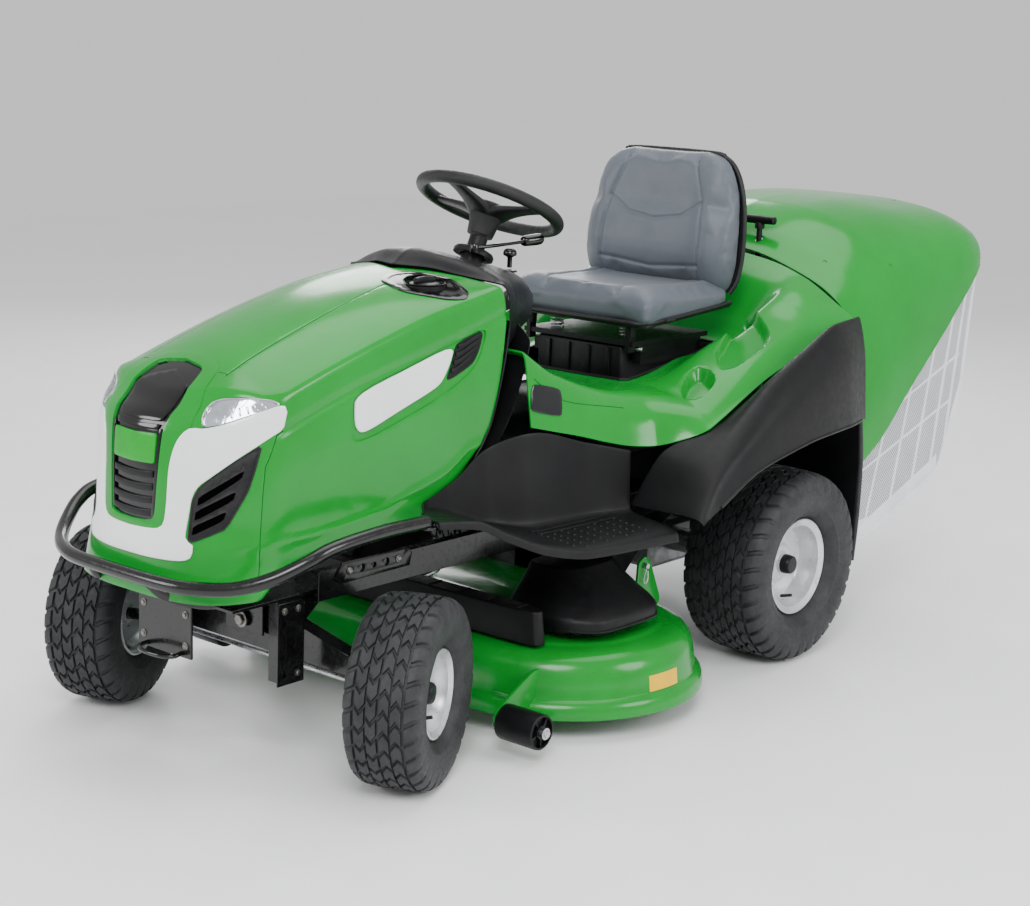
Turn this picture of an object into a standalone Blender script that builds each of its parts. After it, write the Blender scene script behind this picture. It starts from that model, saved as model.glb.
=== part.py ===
"""Riding lawn mower with a mid-mounted cutting deck and a tipping rear grass catcher.

Metres, +Z up. The front faces -Y, the machine's left side is +X and the ground is z = 0.
Dimensions are laid out from a datum near the dash, and the last function moves the whole
machine so that the origin is the centre of its footprint.
"""
import math

import bmesh
import bpy
import numpy as np
from mathutils import Matrix, Vector

# Driving dimensions
FRONT_AXLE_Y = -0.928
REAR_AXLE_Y = 0.348
KINGPIN_X = 0.3134
KINGPIN_OFFSET = 0.095
REST_STEER = math.radians(24.0)
FRONT_TYRE = {"radius": 0.1905, "width": 0.155, "rim": 0.078, "flange": 0.089, "bore": 0.0135}
REAR_TYRE = {"radius": 0.2285, "width": 0.216, "rim": 0.103, "flange": 0.115, "bore": 0.0145}
REAR_TRACK_X = 0.417
WHEEL_SEGMENTS = 20
RAIL_X = 0.21
RAIL_LOW = 0.345
RAIL_HIGH = 0.405
SPINDLE_X = 0.265
SPINDLE_Y = -0.26
DECK_LIP = 0.050
BLADE_LENGTH = 0.50
SEAT_HALF = 0.22
BUMPER_RADIUS = 0.014
HOOD_HINGE = (-1.274, 0.42)
WHEEL_CENTRE = Vector((0.0, -0.236, 1.068))
WHEEL_TILT = math.radians(25.0)
STEERING_RADIUS = 0.157
STEERING_GRIP = 0.0145
SKIN = 0.004
GAP = 0.0005
CENTRE_SHIFT_Y = -0.0135

X_AXIS = Matrix.Rotation(math.radians(90.0), 4, "Y")


# Materials
def material(name, colour, roughness, metallic=0.0):
    made = bpy.data.materials.get(name) or bpy.data.materials.new(name)
    made.use_nodes = True
    shader = made.node_tree.nodes["Principled BSDF"]
    shader.inputs["Base Color"].default_value = (*colour, 1.0)
    shader.inputs["Roughness"].default_value = roughness
    shader.inputs["Metallic"].default_value = metallic
    made.diffuse_color = (*colour, 1.0)
    return made


def green():
    return material("green_plastic", (0.01, 0.42, 0.07), 0.25)


def black():
    return material("black_plastic", (0.02, 0.02, 0.022), 0.5)


def steel_black():
    return material("black_steel", (0.015, 0.015, 0.017), 0.35, 0.2)


def white():
    return material("white_plastic", (0.75, 0.77, 0.80), 0.3)


def rubber():
    return material("tyre_rubber", (0.025, 0.025, 0.028), 0.8)


def silver():
    return material("silver_paint", (0.55, 0.56, 0.58), 0.35, 0.8)


def bright_steel():
    return material("bright_steel", (0.6, 0.6, 0.62), 0.3, 1.0)


def cast_metal():
    return material("cast_aluminium", (0.4, 0.4, 0.42), 0.5, 0.9)


def clear():
    return material("lamp_lens", (0.85, 0.87, 0.9), 0.08)


def vinyl():
    return material("seat_vinyl", (0.20, 0.23, 0.27), 0.55)


def basket_mesh():
    return material("basket_mesh", (0.62, 0.64, 0.66), 0.6)


# Mesh helpers
def to_object(name, mesh_data, skin_material, origin=(0.0, 0.0, 0.0), smooth=False):
    """Turns a bmesh in world coordinates into an object whose origin is a given point."""
    origin = Vector(origin)
    bmesh.ops.translate(mesh_data, verts=mesh_data.verts, vec=-origin)
    mesh = bpy.data.meshes.new(name)
    mesh_data.to_mesh(mesh)
    mesh_data.free()
    made = bpy.data.objects.new(name, mesh)
    bpy.context.scene.collection.objects.link(made)
    mesh.materials.append(skin_material)
    made.location = origin
    if smooth:
        mesh.shade_smooth()
        mesh.set_sharp_from_angle(angle=math.radians(40.0))
    return made


def solidify(made, thickness, offset=-1.0):
    wall = made.modifiers.new("wall", "SOLIDIFY")
    wall.thickness = thickness
    wall.offset = offset
    wall.use_even_offset = True
    return made


def boolean(made, tool, operation):
    """Cuts or joins a tool object, which stays in the file as a hidden guide."""
    tool.hide_render = True
    tool.display_type = "WIRE"
    step = made.modifiers.new(operation.lower(), "BOOLEAN")
    step.operation = operation
    step.solver = "EXACT"
    step.object = tool
    return made


def box_mesh(low, high, bevel=0.0):
    data = bmesh.new()
    bmesh.ops.create_cube(data, size=1.0)
    low = Vector(low)
    high = Vector(high)
    size = high - low
    bmesh.ops.scale(data, vec=size, verts=data.verts)
    bmesh.ops.translate(data, vec=(low + high) / 2.0, verts=data.verts)
    if bevel:
        bmesh.ops.bevel(data, geom=data.edges[:], offset=bevel, segments=1, affect="EDGES")
    return data


def box(name, low, high, skin_material, bevel=0.0, origin=(0.0, 0.0, 0.0)):
    return to_object(name, box_mesh(low, high, bevel), skin_material, origin)


def prism_mesh(outline, axis, low, high):
    """Extrudes a closed outline along an axis. The outline gives the two other coordinates."""
    data = bmesh.new()
    order = {"X": (0, 1, 2), "Y": (1, 0, 2), "Z": (2, 0, 1)}[axis]
    rings = []
    for depth in (low, high):
        ring = []
        for first, second in outline:
            point = [0.0, 0.0, 0.0]
            point[order[0]] = depth
            point[order[1]] = first
            point[order[2]] = second
            ring.append(data.verts.new(point))
        rings.append(ring)
    data.faces.new(rings[0])
    data.faces.new(list(reversed(rings[1])))
    count = len(outline)
    for index in range(count):
        after = (index + 1) % count
        data.faces.new((rings[0][after], rings[0][index], rings[1][index], rings[1][after]))
    bmesh.ops.recalc_face_normals(data, faces=data.faces[:])
    return data


def prism(name, outline, axis, low, high, skin_material, origin=(0.0, 0.0, 0.0)):
    return to_object(name, prism_mesh(outline, axis, low, high), skin_material, origin)


def lathe_mesh(profile, segments, turn=None, centre=(0.0, 0.0, 0.0)):
    """Turns a closed profile of (radius, height) about Z, then places it."""
    data = bmesh.new()
    rings = []
    for step in range(segments):
        angle = 2.0 * math.pi * step / segments
        ring = []
        for radius, height in profile:
            ring.append(data.verts.new((radius * math.cos(angle), radius * math.sin(angle), height)))
        rings.append(ring)
    count = len(profile)
    for step in range(segments):
        this, following = rings[step], rings[(step + 1) % segments]
        for index in range(count):
            after = (index + 1) % count
            data.faces.new((this[index], following[index], following[after], this[after]))
    bmesh.ops.remove_doubles(data, verts=data.verts[:], dist=1e-6)
    bmesh.ops.dissolve_degenerate(data, edges=data.edges[:], dist=1e-7)
    bmesh.ops.recalc_face_normals(data, faces=data.faces[:])
    if turn is not None:
        bmesh.ops.transform(data, matrix=turn, verts=data.verts[:])
    bmesh.ops.translate(data, verts=data.verts[:], vec=Vector(centre))
    return data


def rod_mesh(start, end, radius, sides=12):
    """A solid round rod between two points."""
    start = Vector(start)
    end = Vector(end)
    data = bmesh.new()
    bmesh.ops.create_cone(data, cap_ends=True, segments=sides, radius1=radius, radius2=radius,
                          depth=(end - start).length)
    turn = (end - start).to_track_quat("Z", "Y").to_matrix().to_4x4()
    bmesh.ops.transform(data, matrix=turn, verts=data.verts[:])
    bmesh.ops.translate(data, verts=data.verts[:], vec=(start + end) / 2.0)
    return data


def ball_mesh(centre, radius, stretch=(1.0, 1.0, 1.0)):
    data = bmesh.new()
    bmesh.ops.create_icosphere(data, subdivisions=2, radius=radius)
    bmesh.ops.scale(data, vec=stretch, verts=data.verts[:])
    bmesh.ops.translate(data, verts=data.verts[:], vec=Vector(centre))
    return data


def union(name, meshes, skin_material, origin=(0.0, 0.0, 0.0), smooth=False):
    """Joins several closed meshes into one solid with Boolean unions."""
    made = to_object(name, meshes[0], skin_material, origin, smooth)
    for number, extra in enumerate(meshes[1:], start=1):
        tool = to_object(f"guide_{name}_{number}", extra, skin_material)
        boolean(made, tool, "UNION")
    return made


def sweep_mesh(path, radius, sides=8):
    """A round bar along a path of points, with flat ends."""
    points = [Vector(point) for point in path]
    data = bmesh.new()
    rings = []
    across = None
    for index, point in enumerate(points):
        before = points[max(index - 1, 0)]
        after = points[min(index + 1, len(points) - 1)]
        along = (after - before).normalized()
        if across is None:
            across = along.orthogonal().normalized()
        across = (across - along * across.dot(along)).normalized()
        other = along.cross(across)
        ring = []
        for step in range(sides):
            angle = 2.0 * math.pi * step / sides
            ring.append(data.verts.new(point + radius * (math.cos(angle) * across + math.sin(angle) * other)))
        rings.append(ring)
    for this, following in zip(rings, rings[1:]):
        for step in range(sides):
            after = (step + 1) % sides
            data.faces.new((this[step], this[after], following[after], following[step]))
    data.faces.new(list(reversed(rings[0])))
    data.faces.new(rings[-1])
    bmesh.ops.recalc_face_normals(data, faces=data.faces[:])
    return data


def sheet_mesh(rows, keep=None):
    """A surface through rows of points. The rows cover x >= 0 and are mirrored to the other side."""
    data = bmesh.new()
    for side in (1.0, -1.0):
        made = [[data.verts.new((side * x, y, z)) for x, y, z in row] for row in rows]
        for i in range(len(rows) - 1):
            for j in range(len(rows[0]) - 1):
                if keep is not None and not keep(i, j):
                    continue
                corner = [made[i][j], made[i][j + 1], made[i + 1][j + 1], made[i + 1][j]]
                data.faces.new(corner if side > 0 else list(reversed(corner)))
    bmesh.ops.remove_doubles(data, verts=data.verts[:], dist=1e-5)
    loose = [vertex for vertex in data.verts if not vertex.link_faces]
    bmesh.ops.delete(data, geom=loose, context="VERTS")
    bmesh.ops.dissolve_degenerate(data, edges=data.edges[:], dist=1e-7)
    return data


def one_side_mesh(rows, side):
    """A surface through rows of points on one side of the machine, side = +1 left or -1 right."""
    data = bmesh.new()
    made = [[data.verts.new((side * x, y, z)) for x, y, z in row] for row in rows]
    for i in range(len(rows) - 1):
        for j in range(len(rows[0]) - 1):
            corner = [made[i][j], made[i][j + 1], made[i + 1][j + 1], made[i + 1][j]]
            data.faces.new(corner if side > 0 else list(reversed(corner)))
    return data


def flipped(data):
    """Turns every face of a surface over."""
    bmesh.ops.reverse_faces(data, faces=data.faces[:])
    return data


def mirrored_path(half):
    """A path across the machine from its points at x >= 0, which start at the centre line."""
    return [(-x, y, z) for x, y, z in reversed(half[1:])] + list(half)


# Hood surface, shared by the panels that lie on it
HOOD_RINGS = (0.0, 0.21, 0.38, 0.62, 0.83, 1.0)
HOOD_CROWN = (0.12, 0.35, 0.6, 0.8, 1.0)
HOOD_FRONT_ANGLES = (0.0, 17.0, 26.5, 43.0, 60.0, 75.0, 90.0)
HOOD_SIDE_STEPS = (0.13, 0.30, 0.50, 0.73, 0.88, 1.0)
HOOD_SIDE_Y = -1.05
HOOD_REAR_LOW = 0.474
HOOD_CENTRE_SETBACK = 0.102


def hood_bottom(y):
    return float(np.interp(y, (-1.12, -1.06, -0.92, -0.73, -0.60), (0.385, 0.440, 0.462, 0.468, 0.474)))


def hood_crease(y):
    return float(np.interp(y, (-1.19, -1.10, -1.07, -0.948, -0.817, -0.668, -0.516, -0.45),
                           (0.756, 0.757, 0.764, 0.805, 0.843, 0.882, 0.908, 0.925)))


def hood_centre(y):
    return float(np.interp(y, (-1.19, -1.131, -1.08, -1.0, -0.8, -0.65, -0.55, -0.43),
                           (0.757, 0.800, 0.824, 0.851, 0.910, 0.941, 0.949, 0.955)))


def hood_rear(z):
    return float(np.interp(z, (0.474, 0.520, 0.646, 0.812, 0.863, 0.925), (-0.604, -0.601, -0.487, -0.444, -0.438, -0.450)))


def hood_half_width(level):
    return float(np.interp(level, (0.0, 0.5, 0.8, 1.0), (0.238, 0.237, 0.232, 0.228)))


def hood_point(level, crown, column):
    """A point of the hood. level runs up the side, crown runs from the crease to the centre."""
    front_y = float(np.interp(level, (0.0, 0.21, 0.38, 0.83, 0.90, 1.0), (-1.248, -1.250, -1.2465, -1.238, -1.228, -1.185)))
    front_y += crown * 0.105
    front_z = 0.378 + level * 0.379
    roundness = float(np.interp(level, (0.0, 0.21, 0.38, 1.0), (0.62, 0.80, 0.90, 1.0)))
    if column < len(HOOD_FRONT_ANGLES):
        angle = math.radians(HOOD_FRONT_ANGLES[column])
        y = HOOD_SIDE_Y + (front_y - HOOD_SIDE_Y) * max(math.cos(angle), 0.0) ** roundness
        out = math.sin(angle) ** roundness
    else:
        step = HOOD_SIDE_STEPS[column - len(HOOD_FRONT_ANGLES)]
        rear_z = HOOD_REAR_LOW + level * 0.451
        rear_y = hood_rear(rear_z) - crown * HOOD_CENTRE_SETBACK
        y = HOOD_SIDE_Y + (rear_y - HOOD_SIDE_Y) * step
        out = 1.0
    width = hood_half_width(level)
    x = width * out * (1.0 - crown)
    if level < 1.0:
        side_z = hood_bottom(y) + (hood_crease(y) - hood_bottom(y)) * level
        z = side_z + (front_z - side_z) * (1.0 - out ** 3)
    else:
        bulge = 1.0 - (x / width) ** 2.4
        z = hood_crease(y) + (hood_centre(y) - hood_crease(y)) * bulge
    return x, y, z


def hood_rows():
    columns = range(len(HOOD_FRONT_ANGLES) + len(HOOD_SIDE_STEPS))
    rows = [[hood_point(level, 0.0, column) for column in columns] for level in HOOD_RINGS]
    rows += [[hood_point(1.0, crown, column) for column in columns] for crown in HOOD_CROWN]
    return rows


def lifted(data, distance):
    """Moves a surface off itself along its vertex normals."""
    data.normal_update()
    moves = [(vertex, vertex.normal.copy()) for vertex in data.verts]
    for vertex, normal in moves:
        vertex.co += normal * distance
    return data


def hood_panel(name, cells, sides, skin_material, thickness=0.0025):
    """A thin cover over some cells of the hood, a hair's breadth outside it."""
    rows = hood_rows()
    chosen = bmesh.new()
    for side in sides:
        made = {}
        for i, j in cells:
            corner = []
            for row, column in ((i, j), (i, j + 1), (i + 1, j + 1), (i + 1, j)):
                if (row, column) not in made:
                    x, y, z = rows[row][column]
                    made[(row, column)] = chosen.verts.new((side * x, y, z))
                corner.append(made[(row, column)])
            chosen.faces.new(corner if side > 0 else list(reversed(corner)))
    bmesh.ops.remove_doubles(chosen, verts=chosen.verts[:], dist=1e-5)
    rim = bmesh.ops.inset_region(chosen, faces=chosen.faces[:], thickness=0.0012, use_boundary=True)
    bmesh.ops.delete(chosen, geom=rim["faces"], context="FACES")
    lifted(chosen, GAP)
    made = to_object(name, chosen, skin_material, (0.0, *HOOD_HINGE))
    return solidify(made, thickness, 1.0)


def hood_shell():
    made = to_object("hood_shell", sheet_mesh(hood_rows()), green(), (0.0, *HOOD_HINGE), True)
    solidify(made, SKIN)
    tool = to_object("guide_fuel_hole", rod_mesh((0.13, -0.575, 0.80), (0.13, -0.575, 1.05), 0.056, 16), green())
    return boolean(made, tool, "DIFFERENCE")


def hood_panels():
    both = (1.0, -1.0)
    trim = [(1, 0), (1, 1), (1, 2), (2, 2), (3, 2), (3, 3), (3, 4)]
    hood_panel("front_trim", trim, both, white())
    hood_panel("grille_insert", [(2, 0), (3, 0), (4, 0)], both, black())
    for label, side in (("left", 1.0), ("right", -1.0)):
        hood_panel(f"headlight_{label}", [(4, 3), (4, 4)], (side,), clear())
        hood_panel(f"side_vent_{label}", [(2, 3), (2, 4)], (side,), black())
        hood_panel(f"badge_plate_{label}", [(3, 8), (3, 9)], (side,), white())


# Wheels
def tyre_profile(size):
    """(radius, offset) around the tyre's wall, open towards the rim."""
    half = size["width"] / 2.0
    radius = size["radius"]
    rim = size["rim"]
    height = radius - rim
    bead = 0.66 * half
    outer = [(rim, bead), (size["flange"] + 0.002, bead), (rim + 0.45 * height, 0.985 * half),
             (radius - 0.17 * height, 0.97 * half), (radius - 0.03 * height, 0.80 * half), (radius, 0.35 * half)]
    inner = [(radius - 0.15 * height, 0.60 * half), (rim + 0.45 * height, 0.84 * half),
             (rim + 0.04, bead - 0.009), (rim, bead - 0.011)]
    left = outer + [(r, -a) for r, a in reversed(outer)]
    right = [(r, -a) for r, a in reversed(inner)] + inner
    return left + right


def rim_profile(size, disc_offset):
    """(radius, offset) around the rim: flanges, barrel, dished disc and hub."""
    flat = 0.66 * size["width"] / 2.0
    barrel = size["rim"] - GAP
    flange = size["flange"]
    hub = size["bore"] + 0.009
    hub_out = disc_offset + 0.022
    hub_in = disc_offset - 0.045
    inner = barrel - 0.004
    return [(flange, -flat - 0.007), (barrel, -flat - 0.001), (barrel, flat + 0.001), (flange, flat + 0.007),
            (flange - 0.003, flat + 0.010), (inner, flat - 0.002), (inner, disc_offset + 0.004),
            (0.045, disc_offset + 0.012), (hub, hub_out), (size["bore"], hub_out), (size["bore"], hub_in),
            (hub, hub_in), (0.045, disc_offset + 0.004), (inner, disc_offset - 0.004),
            (inner, -flat + 0.002), (flange - 0.003, -flat - 0.010)]


def wheel(corner, centre, size, side, steer, disc_offset):
    """A tyre and its rim. side = +1 has the rim's dish facing the machine's left."""
    turn = X_AXIS if side > 0 else Matrix.Rotation(math.pi, 4, "Z") @ X_AXIS
    for kind, profile, skin_material in (("tyre", tyre_profile(size), rubber()),
                                         ("rim", rim_profile(size, disc_offset), silver())):
        data = lathe_mesh(profile, WHEEL_SEGMENTS, turn)
        made = to_object(f"{kind}_{corner}", data, skin_material, smooth=True)
        made.location = centre
        made.rotation_euler = (0.0, 0.0, steer)


def front_wheel_centre(side):
    across = side * KINGPIN_OFFSET
    return Vector((side * KINGPIN_X + across * math.cos(REST_STEER),
                   FRONT_AXLE_Y + across * math.sin(REST_STEER), FRONT_TYRE["radius"]))


def wheels():
    for label, side in (("left", 1.0), ("right", -1.0)):
        wheel(f"front_{label}", front_wheel_centre(side), FRONT_TYRE, side, REST_STEER, 0.012)
        rear = Vector((side * REAR_TRACK_X, REAR_AXLE_Y, REAR_TYRE["radius"]))
        wheel(f"rear_{label}", rear, REAR_TYRE, side, 0.0, 0.020)


# Front axle and steering
BEAM_LOW = 0.205
BEAM_HIGH = 0.247
PIVOT_Z = 0.262
ARM_LENGTH = 0.10
ARM_LOW = 0.160


def kingpin(side):
    return Vector((side * KINGPIN_X, FRONT_AXLE_Y, 0.0))


def front_axle():
    end = KINGPIN_X + 0.016
    upper = [(end, BEAM_HIGH), (0.285, BEAM_HIGH), (0.07, 0.295), (0.0, 0.300)]
    outline = [(-end, BEAM_LOW), (end, BEAM_LOW)] + upper + [(-x, z) for x, z in reversed(upper[:-1])]
    data = prism_mesh(outline, "Y", FRONT_AXLE_Y - 0.018, FRONT_AXLE_Y + 0.018)
    made = to_object("front_axle", data, steel_black(), (0.0, FRONT_AXLE_Y, PIVOT_Z))
    for number, side in enumerate((1.0, -1.0)):
        at = kingpin(side)
        hole = rod_mesh(at + Vector((0, 0, BEAM_LOW - 0.02)), at + Vector((0, 0, BEAM_HIGH + 0.02)), 0.0106, 12)
        boolean(made, to_object(f"guide_kingpin_{number}", hole, steel_black()), "DIFFERENCE")
    pivot = rod_mesh((0, FRONT_AXLE_Y - 0.03, PIVOT_Z), (0, FRONT_AXLE_Y + 0.03, PIVOT_Z), 0.0135, 12)
    boolean(made, to_object("guide_axle_pivot", pivot, steel_black()), "DIFFERENCE")


def knuckle(label, side):
    """Kingpin, stub axle and steering arm in one forging."""
    at = kingpin(side)
    spindle_z = FRONT_TYRE["radius"]
    post = [(0.0, ARM_LOW), (0.015, ARM_LOW), (0.015, BEAM_LOW - GAP), (0.0098, BEAM_LOW - GAP),
            (0.0098, BEAM_HIGH + GAP), (0.015, BEAM_HIGH + GAP), (0.015, BEAM_HIGH + 0.012), (0.0, BEAM_HIGH + 0.012)]
    outward = side * Vector((math.cos(REST_STEER), math.sin(REST_STEER), 0.0))
    backward = Vector((-math.sin(REST_STEER), math.cos(REST_STEER), 0.0))
    axle_start = at + Vector((0, 0, spindle_z)) + outward * 0.004
    stub = rod_mesh(axle_start, axle_start + outward * (KINGPIN_OFFSET + 0.034), 0.0125, 12)
    arm = box_mesh((-0.008, -0.004, ARM_LOW), (0.008, ARM_LENGTH + 0.012, ARM_LOW + 0.012))
    turn = Matrix.Translation(at) @ backward.to_track_quat("Y", "Z").to_matrix().to_4x4()
    bmesh.ops.transform(arm, matrix=turn, verts=arm.verts[:])
    union(f"knuckle_{label}", [lathe_mesh(post, 16, None, at), stub, arm], steel_black(), at)


def arm_end(side):
    backward = Vector((-math.sin(REST_STEER), math.cos(REST_STEER), 0.0))
    return kingpin(side) + backward * ARM_LENGTH


def tie_rod():
    left, right = arm_end(1.0), arm_end(-1.0)
    low, high = Vector((0, 0, 0.136)), Vector((0, 0, ARM_LOW - GAP))
    height = Vector((0, 0, 0.147))
    parts = [rod_mesh(left + height, right + height, 0.007, 10), rod_mesh(left + low, left + high, 0.012, 12),
             rod_mesh(right + low, right + high, 0.012, 12)]
    union("tie_rod", parts, bright_steel(), left)


# Frame and bumper
def frame_rails():
    for label, side in (("left", 1.0), ("right", -1.0)):
        inner, outer = side * (RAIL_X - 0.012), side * (RAIL_X + 0.012)
        web = 0.005 * side
        outline = [(inner, RAIL_LOW), (outer, RAIL_LOW), (outer, RAIL_HIGH), (inner, RAIL_HIGH),
                   (inner, RAIL_HIGH - 0.005), (outer - web, RAIL_HIGH - 0.005),
                   (outer - web, RAIL_LOW + 0.005), (inner, RAIL_LOW + 0.005)]
        prism(f"frame_rail_{label}", outline, "Y", -0.965, 0.618, steel_black())


def front_crossmember():
    """Front plate, axle pivot ears with their pin, and the two side channels."""
    top_low, top_high = RAIL_LOW + 0.010, RAIL_LOW + 0.017
    parts = [box_mesh((-0.196, -1.165, top_low), (0.196, -0.86, top_high)),
             box_mesh((-0.078, -1.165, 0.237), (0.078, -1.159, top_low + 0.003)),
             box_mesh((-0.055, -0.958, 0.236), (0.055, -0.952, top_low + 0.003)),
             box_mesh((-0.055, -0.904, 0.236), (0.055, -0.898, top_low + 0.003)),
             rod_mesh((0, -0.966, PIVOT_Z), (0, -0.890, PIVOT_Z), 0.0125, 12)]
    for side in (1.0, -1.0):
        low, high = sorted((side * 0.172, side * 0.196))
        parts.append(box_mesh((low, -1.05, 0.192), (high, -0.985, top_low + 0.003)))
    union("front_crossmember", parts, steel_black())


def bumper_bar():
    half = [(0.0, -1.274, 0.42), (0.13, -1.270, 0.42), (0.20, -1.250, 0.422), (0.258, -1.213, 0.428),
            (0.303, -1.165, 0.446), (0.336, -1.108, 0.474), (0.346, -1.05, 0.493), (0.348, -0.92, 0.503),
            (0.350, -0.800, 0.503)]
    to_object("bumper_bar", sweep_mesh(mirrored_path(half), BUMPER_RADIUS), steel_black(), smooth=True)


# Engine bay
def engine():
    parts = [rod_mesh((0, -0.80, 0.41), (0, -0.80, 0.56), 0.135, 20),
             box_mesh((0.05, -0.98, 0.43), (0.20, -0.84, 0.545)),
             box_mesh((-0.20, -0.98, 0.43), (-0.05, -0.84, 0.545)),
             rod_mesh((0, -0.80, 0.30), (0, -0.80, 0.42), 0.014, 12)]
    union("engine_block", parts, cast_metal())
    cowl = [(0.0, 0.562), (0.17, 0.562), (0.17, 0.64), (0.15, 0.70), (0.10, 0.715), (0.0, 0.715)]
    to_object("fan_housing", lathe_mesh(cowl, 24, None, (0, -0.80, 0)), black(), smooth=True)
    to_object("muffler", rod_mesh((-0.15, -1.09, 0.50), (0.15, -1.09, 0.50), 0.055, 16), cast_metal(), smooth=True)


FUEL_NECK = Vector((0.13, -0.585, 0.0))


def fuel_tank():
    parts = [box_mesh((-0.20, -0.62, 0.58), (0.20, -0.53, 0.84), 0.012),
             rod_mesh(FUEL_NECK + Vector((0, 0, 0.83)), FUEL_NECK + Vector((0, 0, 0.908)), 0.026, 16)]
    union("fuel_tank", parts, black())


def battery():
    box("battery", (-0.09, -0.30, 0.43), (0.09, -0.14, 0.60), black(), 0.006)


def fuel_cap():
    cap = [(0.0, 0.9085), (0.033, 0.9085), (0.033, 0.930), (0.028, 0.936), (0.0, 0.936)]
    grip = box_mesh((-0.007, -0.028, 0.932), (0.007, 0.028, 0.947), 0.003)
    bmesh.ops.translate(grip, verts=grip.verts[:], vec=FUEL_NECK)
    union("fuel_cap", [lathe_mesh(cap, 16, None, FUEL_NECK), grip], black(), FUEL_NECK + Vector((0, 0, 0.91)))


def transaxle():
    axle_z = REAR_TYRE["radius"]
    case = box_mesh((-0.13, REAR_AXLE_Y - 0.085, 0.16), (0.13, REAR_AXLE_Y + 0.085, 0.272), 0.012)
    reach = REAR_TRACK_X + 0.042
    shaft = rod_mesh((-reach, REAR_AXLE_Y, axle_z), (reach, REAR_AXLE_Y, axle_z), 0.0135, 12)
    tubes = [rod_mesh((side * 0.12, REAR_AXLE_Y, axle_z), (side * 0.28, REAR_AXLE_Y, axle_z), 0.030, 14)
             for side in (1.0, -1.0)]
    union("transaxle", [case, shaft] + tubes, cast_metal())


# Body panels
def dash_stations():
    """Rows of the dash from its seam with the hood to its rear rim, each from the centre out and down one side."""
    return [
        [(0.0, -0.546, 0.956), (0.070, -0.515, 0.954), (0.130, -0.488, 0.944), (0.190, -0.461, 0.935),
         (0.222, -0.446, 0.930), (0.234, -0.433, 0.905), (0.236, -0.430, 0.860), (0.2375, -0.436, 0.810),
         (0.238, -0.480, 0.646), (0.238, -0.572, 0.522)],
        [(0.0, -0.475, 0.988), (0.070, -0.470, 0.980), (0.130, -0.455, 0.965), (0.185, -0.435, 0.945),
         (0.214, -0.420, 0.928), (0.226, -0.415, 0.905), (0.229, -0.414, 0.860), (0.231, -0.431, 0.810),
         (0.233, -0.476, 0.646), (0.235, -0.568, 0.521)],
        [(0.0, -0.352, 0.958), (0.070, -0.352, 0.955), (0.130, -0.360, 0.947), (0.175, -0.370, 0.932),
         (0.200, -0.382, 0.915), (0.212, -0.390, 0.895), (0.220, -0.396, 0.858), (0.226, -0.424, 0.808),
         (0.229, -0.471, 0.646), (0.232, -0.563, 0.521)],
        [(0.0, -0.225, 0.925), (0.060, -0.230, 0.923), (0.110, -0.250, 0.917), (0.145, -0.275, 0.905),
         (0.168, -0.300, 0.890), (0.185, -0.325, 0.872), (0.205, -0.362, 0.855), (0.222, -0.415, 0.805),
         (0.225, -0.466, 0.646), (0.229, -0.557, 0.520)],
        [(0.0, -0.165, 0.890), (0.050, -0.170, 0.888), (0.095, -0.195, 0.880), (0.125, -0.225, 0.865),
         (0.148, -0.255, 0.850), (0.170, -0.290, 0.838), (0.195, -0.345, 0.828), (0.218, -0.410, 0.800),
         (0.222, -0.462, 0.646), (0.226, -0.552, 0.520)],
    ]


def dash_console():
    """Black console over the hood's rear edge, flowing down both sides to the footboards."""
    made = to_object("dash_console", flipped(sheet_mesh(dash_stations())), black(), smooth=True)
    solidify(made, SKIN)
    column = rod_mesh(column_point(-0.30), column_point(0.0), 0.031, 16)
    return boolean(made, to_object("guide_column_hole", column, black()), "DIFFERENCE")


def body_stations():
    """Half sections of the green rear body: y, then (x, z) from the centre line to the lower edge."""
    return [
        (-0.410, ((0.0, 0.790), (0.14, 0.790), (0.254, 0.788), (0.275, 0.700), (0.286, 0.630))),
        (-0.305, ((0.0, 0.735), (0.16, 0.735), (0.258, 0.728), (0.290, 0.660), (0.307, 0.605))),
        (-0.070, ((0.0, 0.672), (0.20, 0.672), (0.262, 0.668), (0.335, 0.620), (0.362, 0.556))),
        (0.040, ((0.0, 0.665), (0.20, 0.665), (0.270, 0.662), (0.385, 0.635), (0.440, 0.597))),
        (0.080, ((0.0, 0.668), (0.20, 0.668), (0.272, 0.670), (0.385, 0.650), (0.440, 0.613))),
        (0.250, ((0.0, 0.700), (0.20, 0.700), (0.280, 0.738), (0.385, 0.725), (0.440, 0.683))),
        (0.430, ((0.0, 0.712), (0.20, 0.712), (0.285, 0.800), (0.385, 0.778), (0.440, 0.735))),
        (0.500, ((0.0, 0.770), (0.20, 0.770), (0.290, 0.832), (0.385, 0.798), (0.440, 0.756))),
        (0.570, ((0.0, 0.885), (0.20, 0.868), (0.295, 0.860), (0.385, 0.815), (0.440, 0.777))),
        (0.622, ((0.0, 0.934), (0.20, 0.905), (0.300, 0.872), (0.388, 0.822), (0.440, 0.790))),
    ]


def rear_body_shell():
    rows = [[(x, y, z) for x, z in half] for y, half in body_stations()]

    def closed(i, j):
        return not (4 <= i < 6 and j == 0)

    made = to_object("rear_body_shell", flipped(sheet_mesh(rows, closed)), green(), smooth=True)
    solidify(made, SKIN)
    slot = box_mesh((-0.347, -0.005, 0.55), (-0.325, 0.205, 0.85))
    boolean(made, to_object("guide_lever_slot", slot, green()), "DIFFERENCE")
    column = rod_mesh(column_point(-0.42), column_point(-0.20), 0.031, 16)
    return boolean(made, to_object("guide_body_column_hole", column, green()), "DIFFERENCE")


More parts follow.
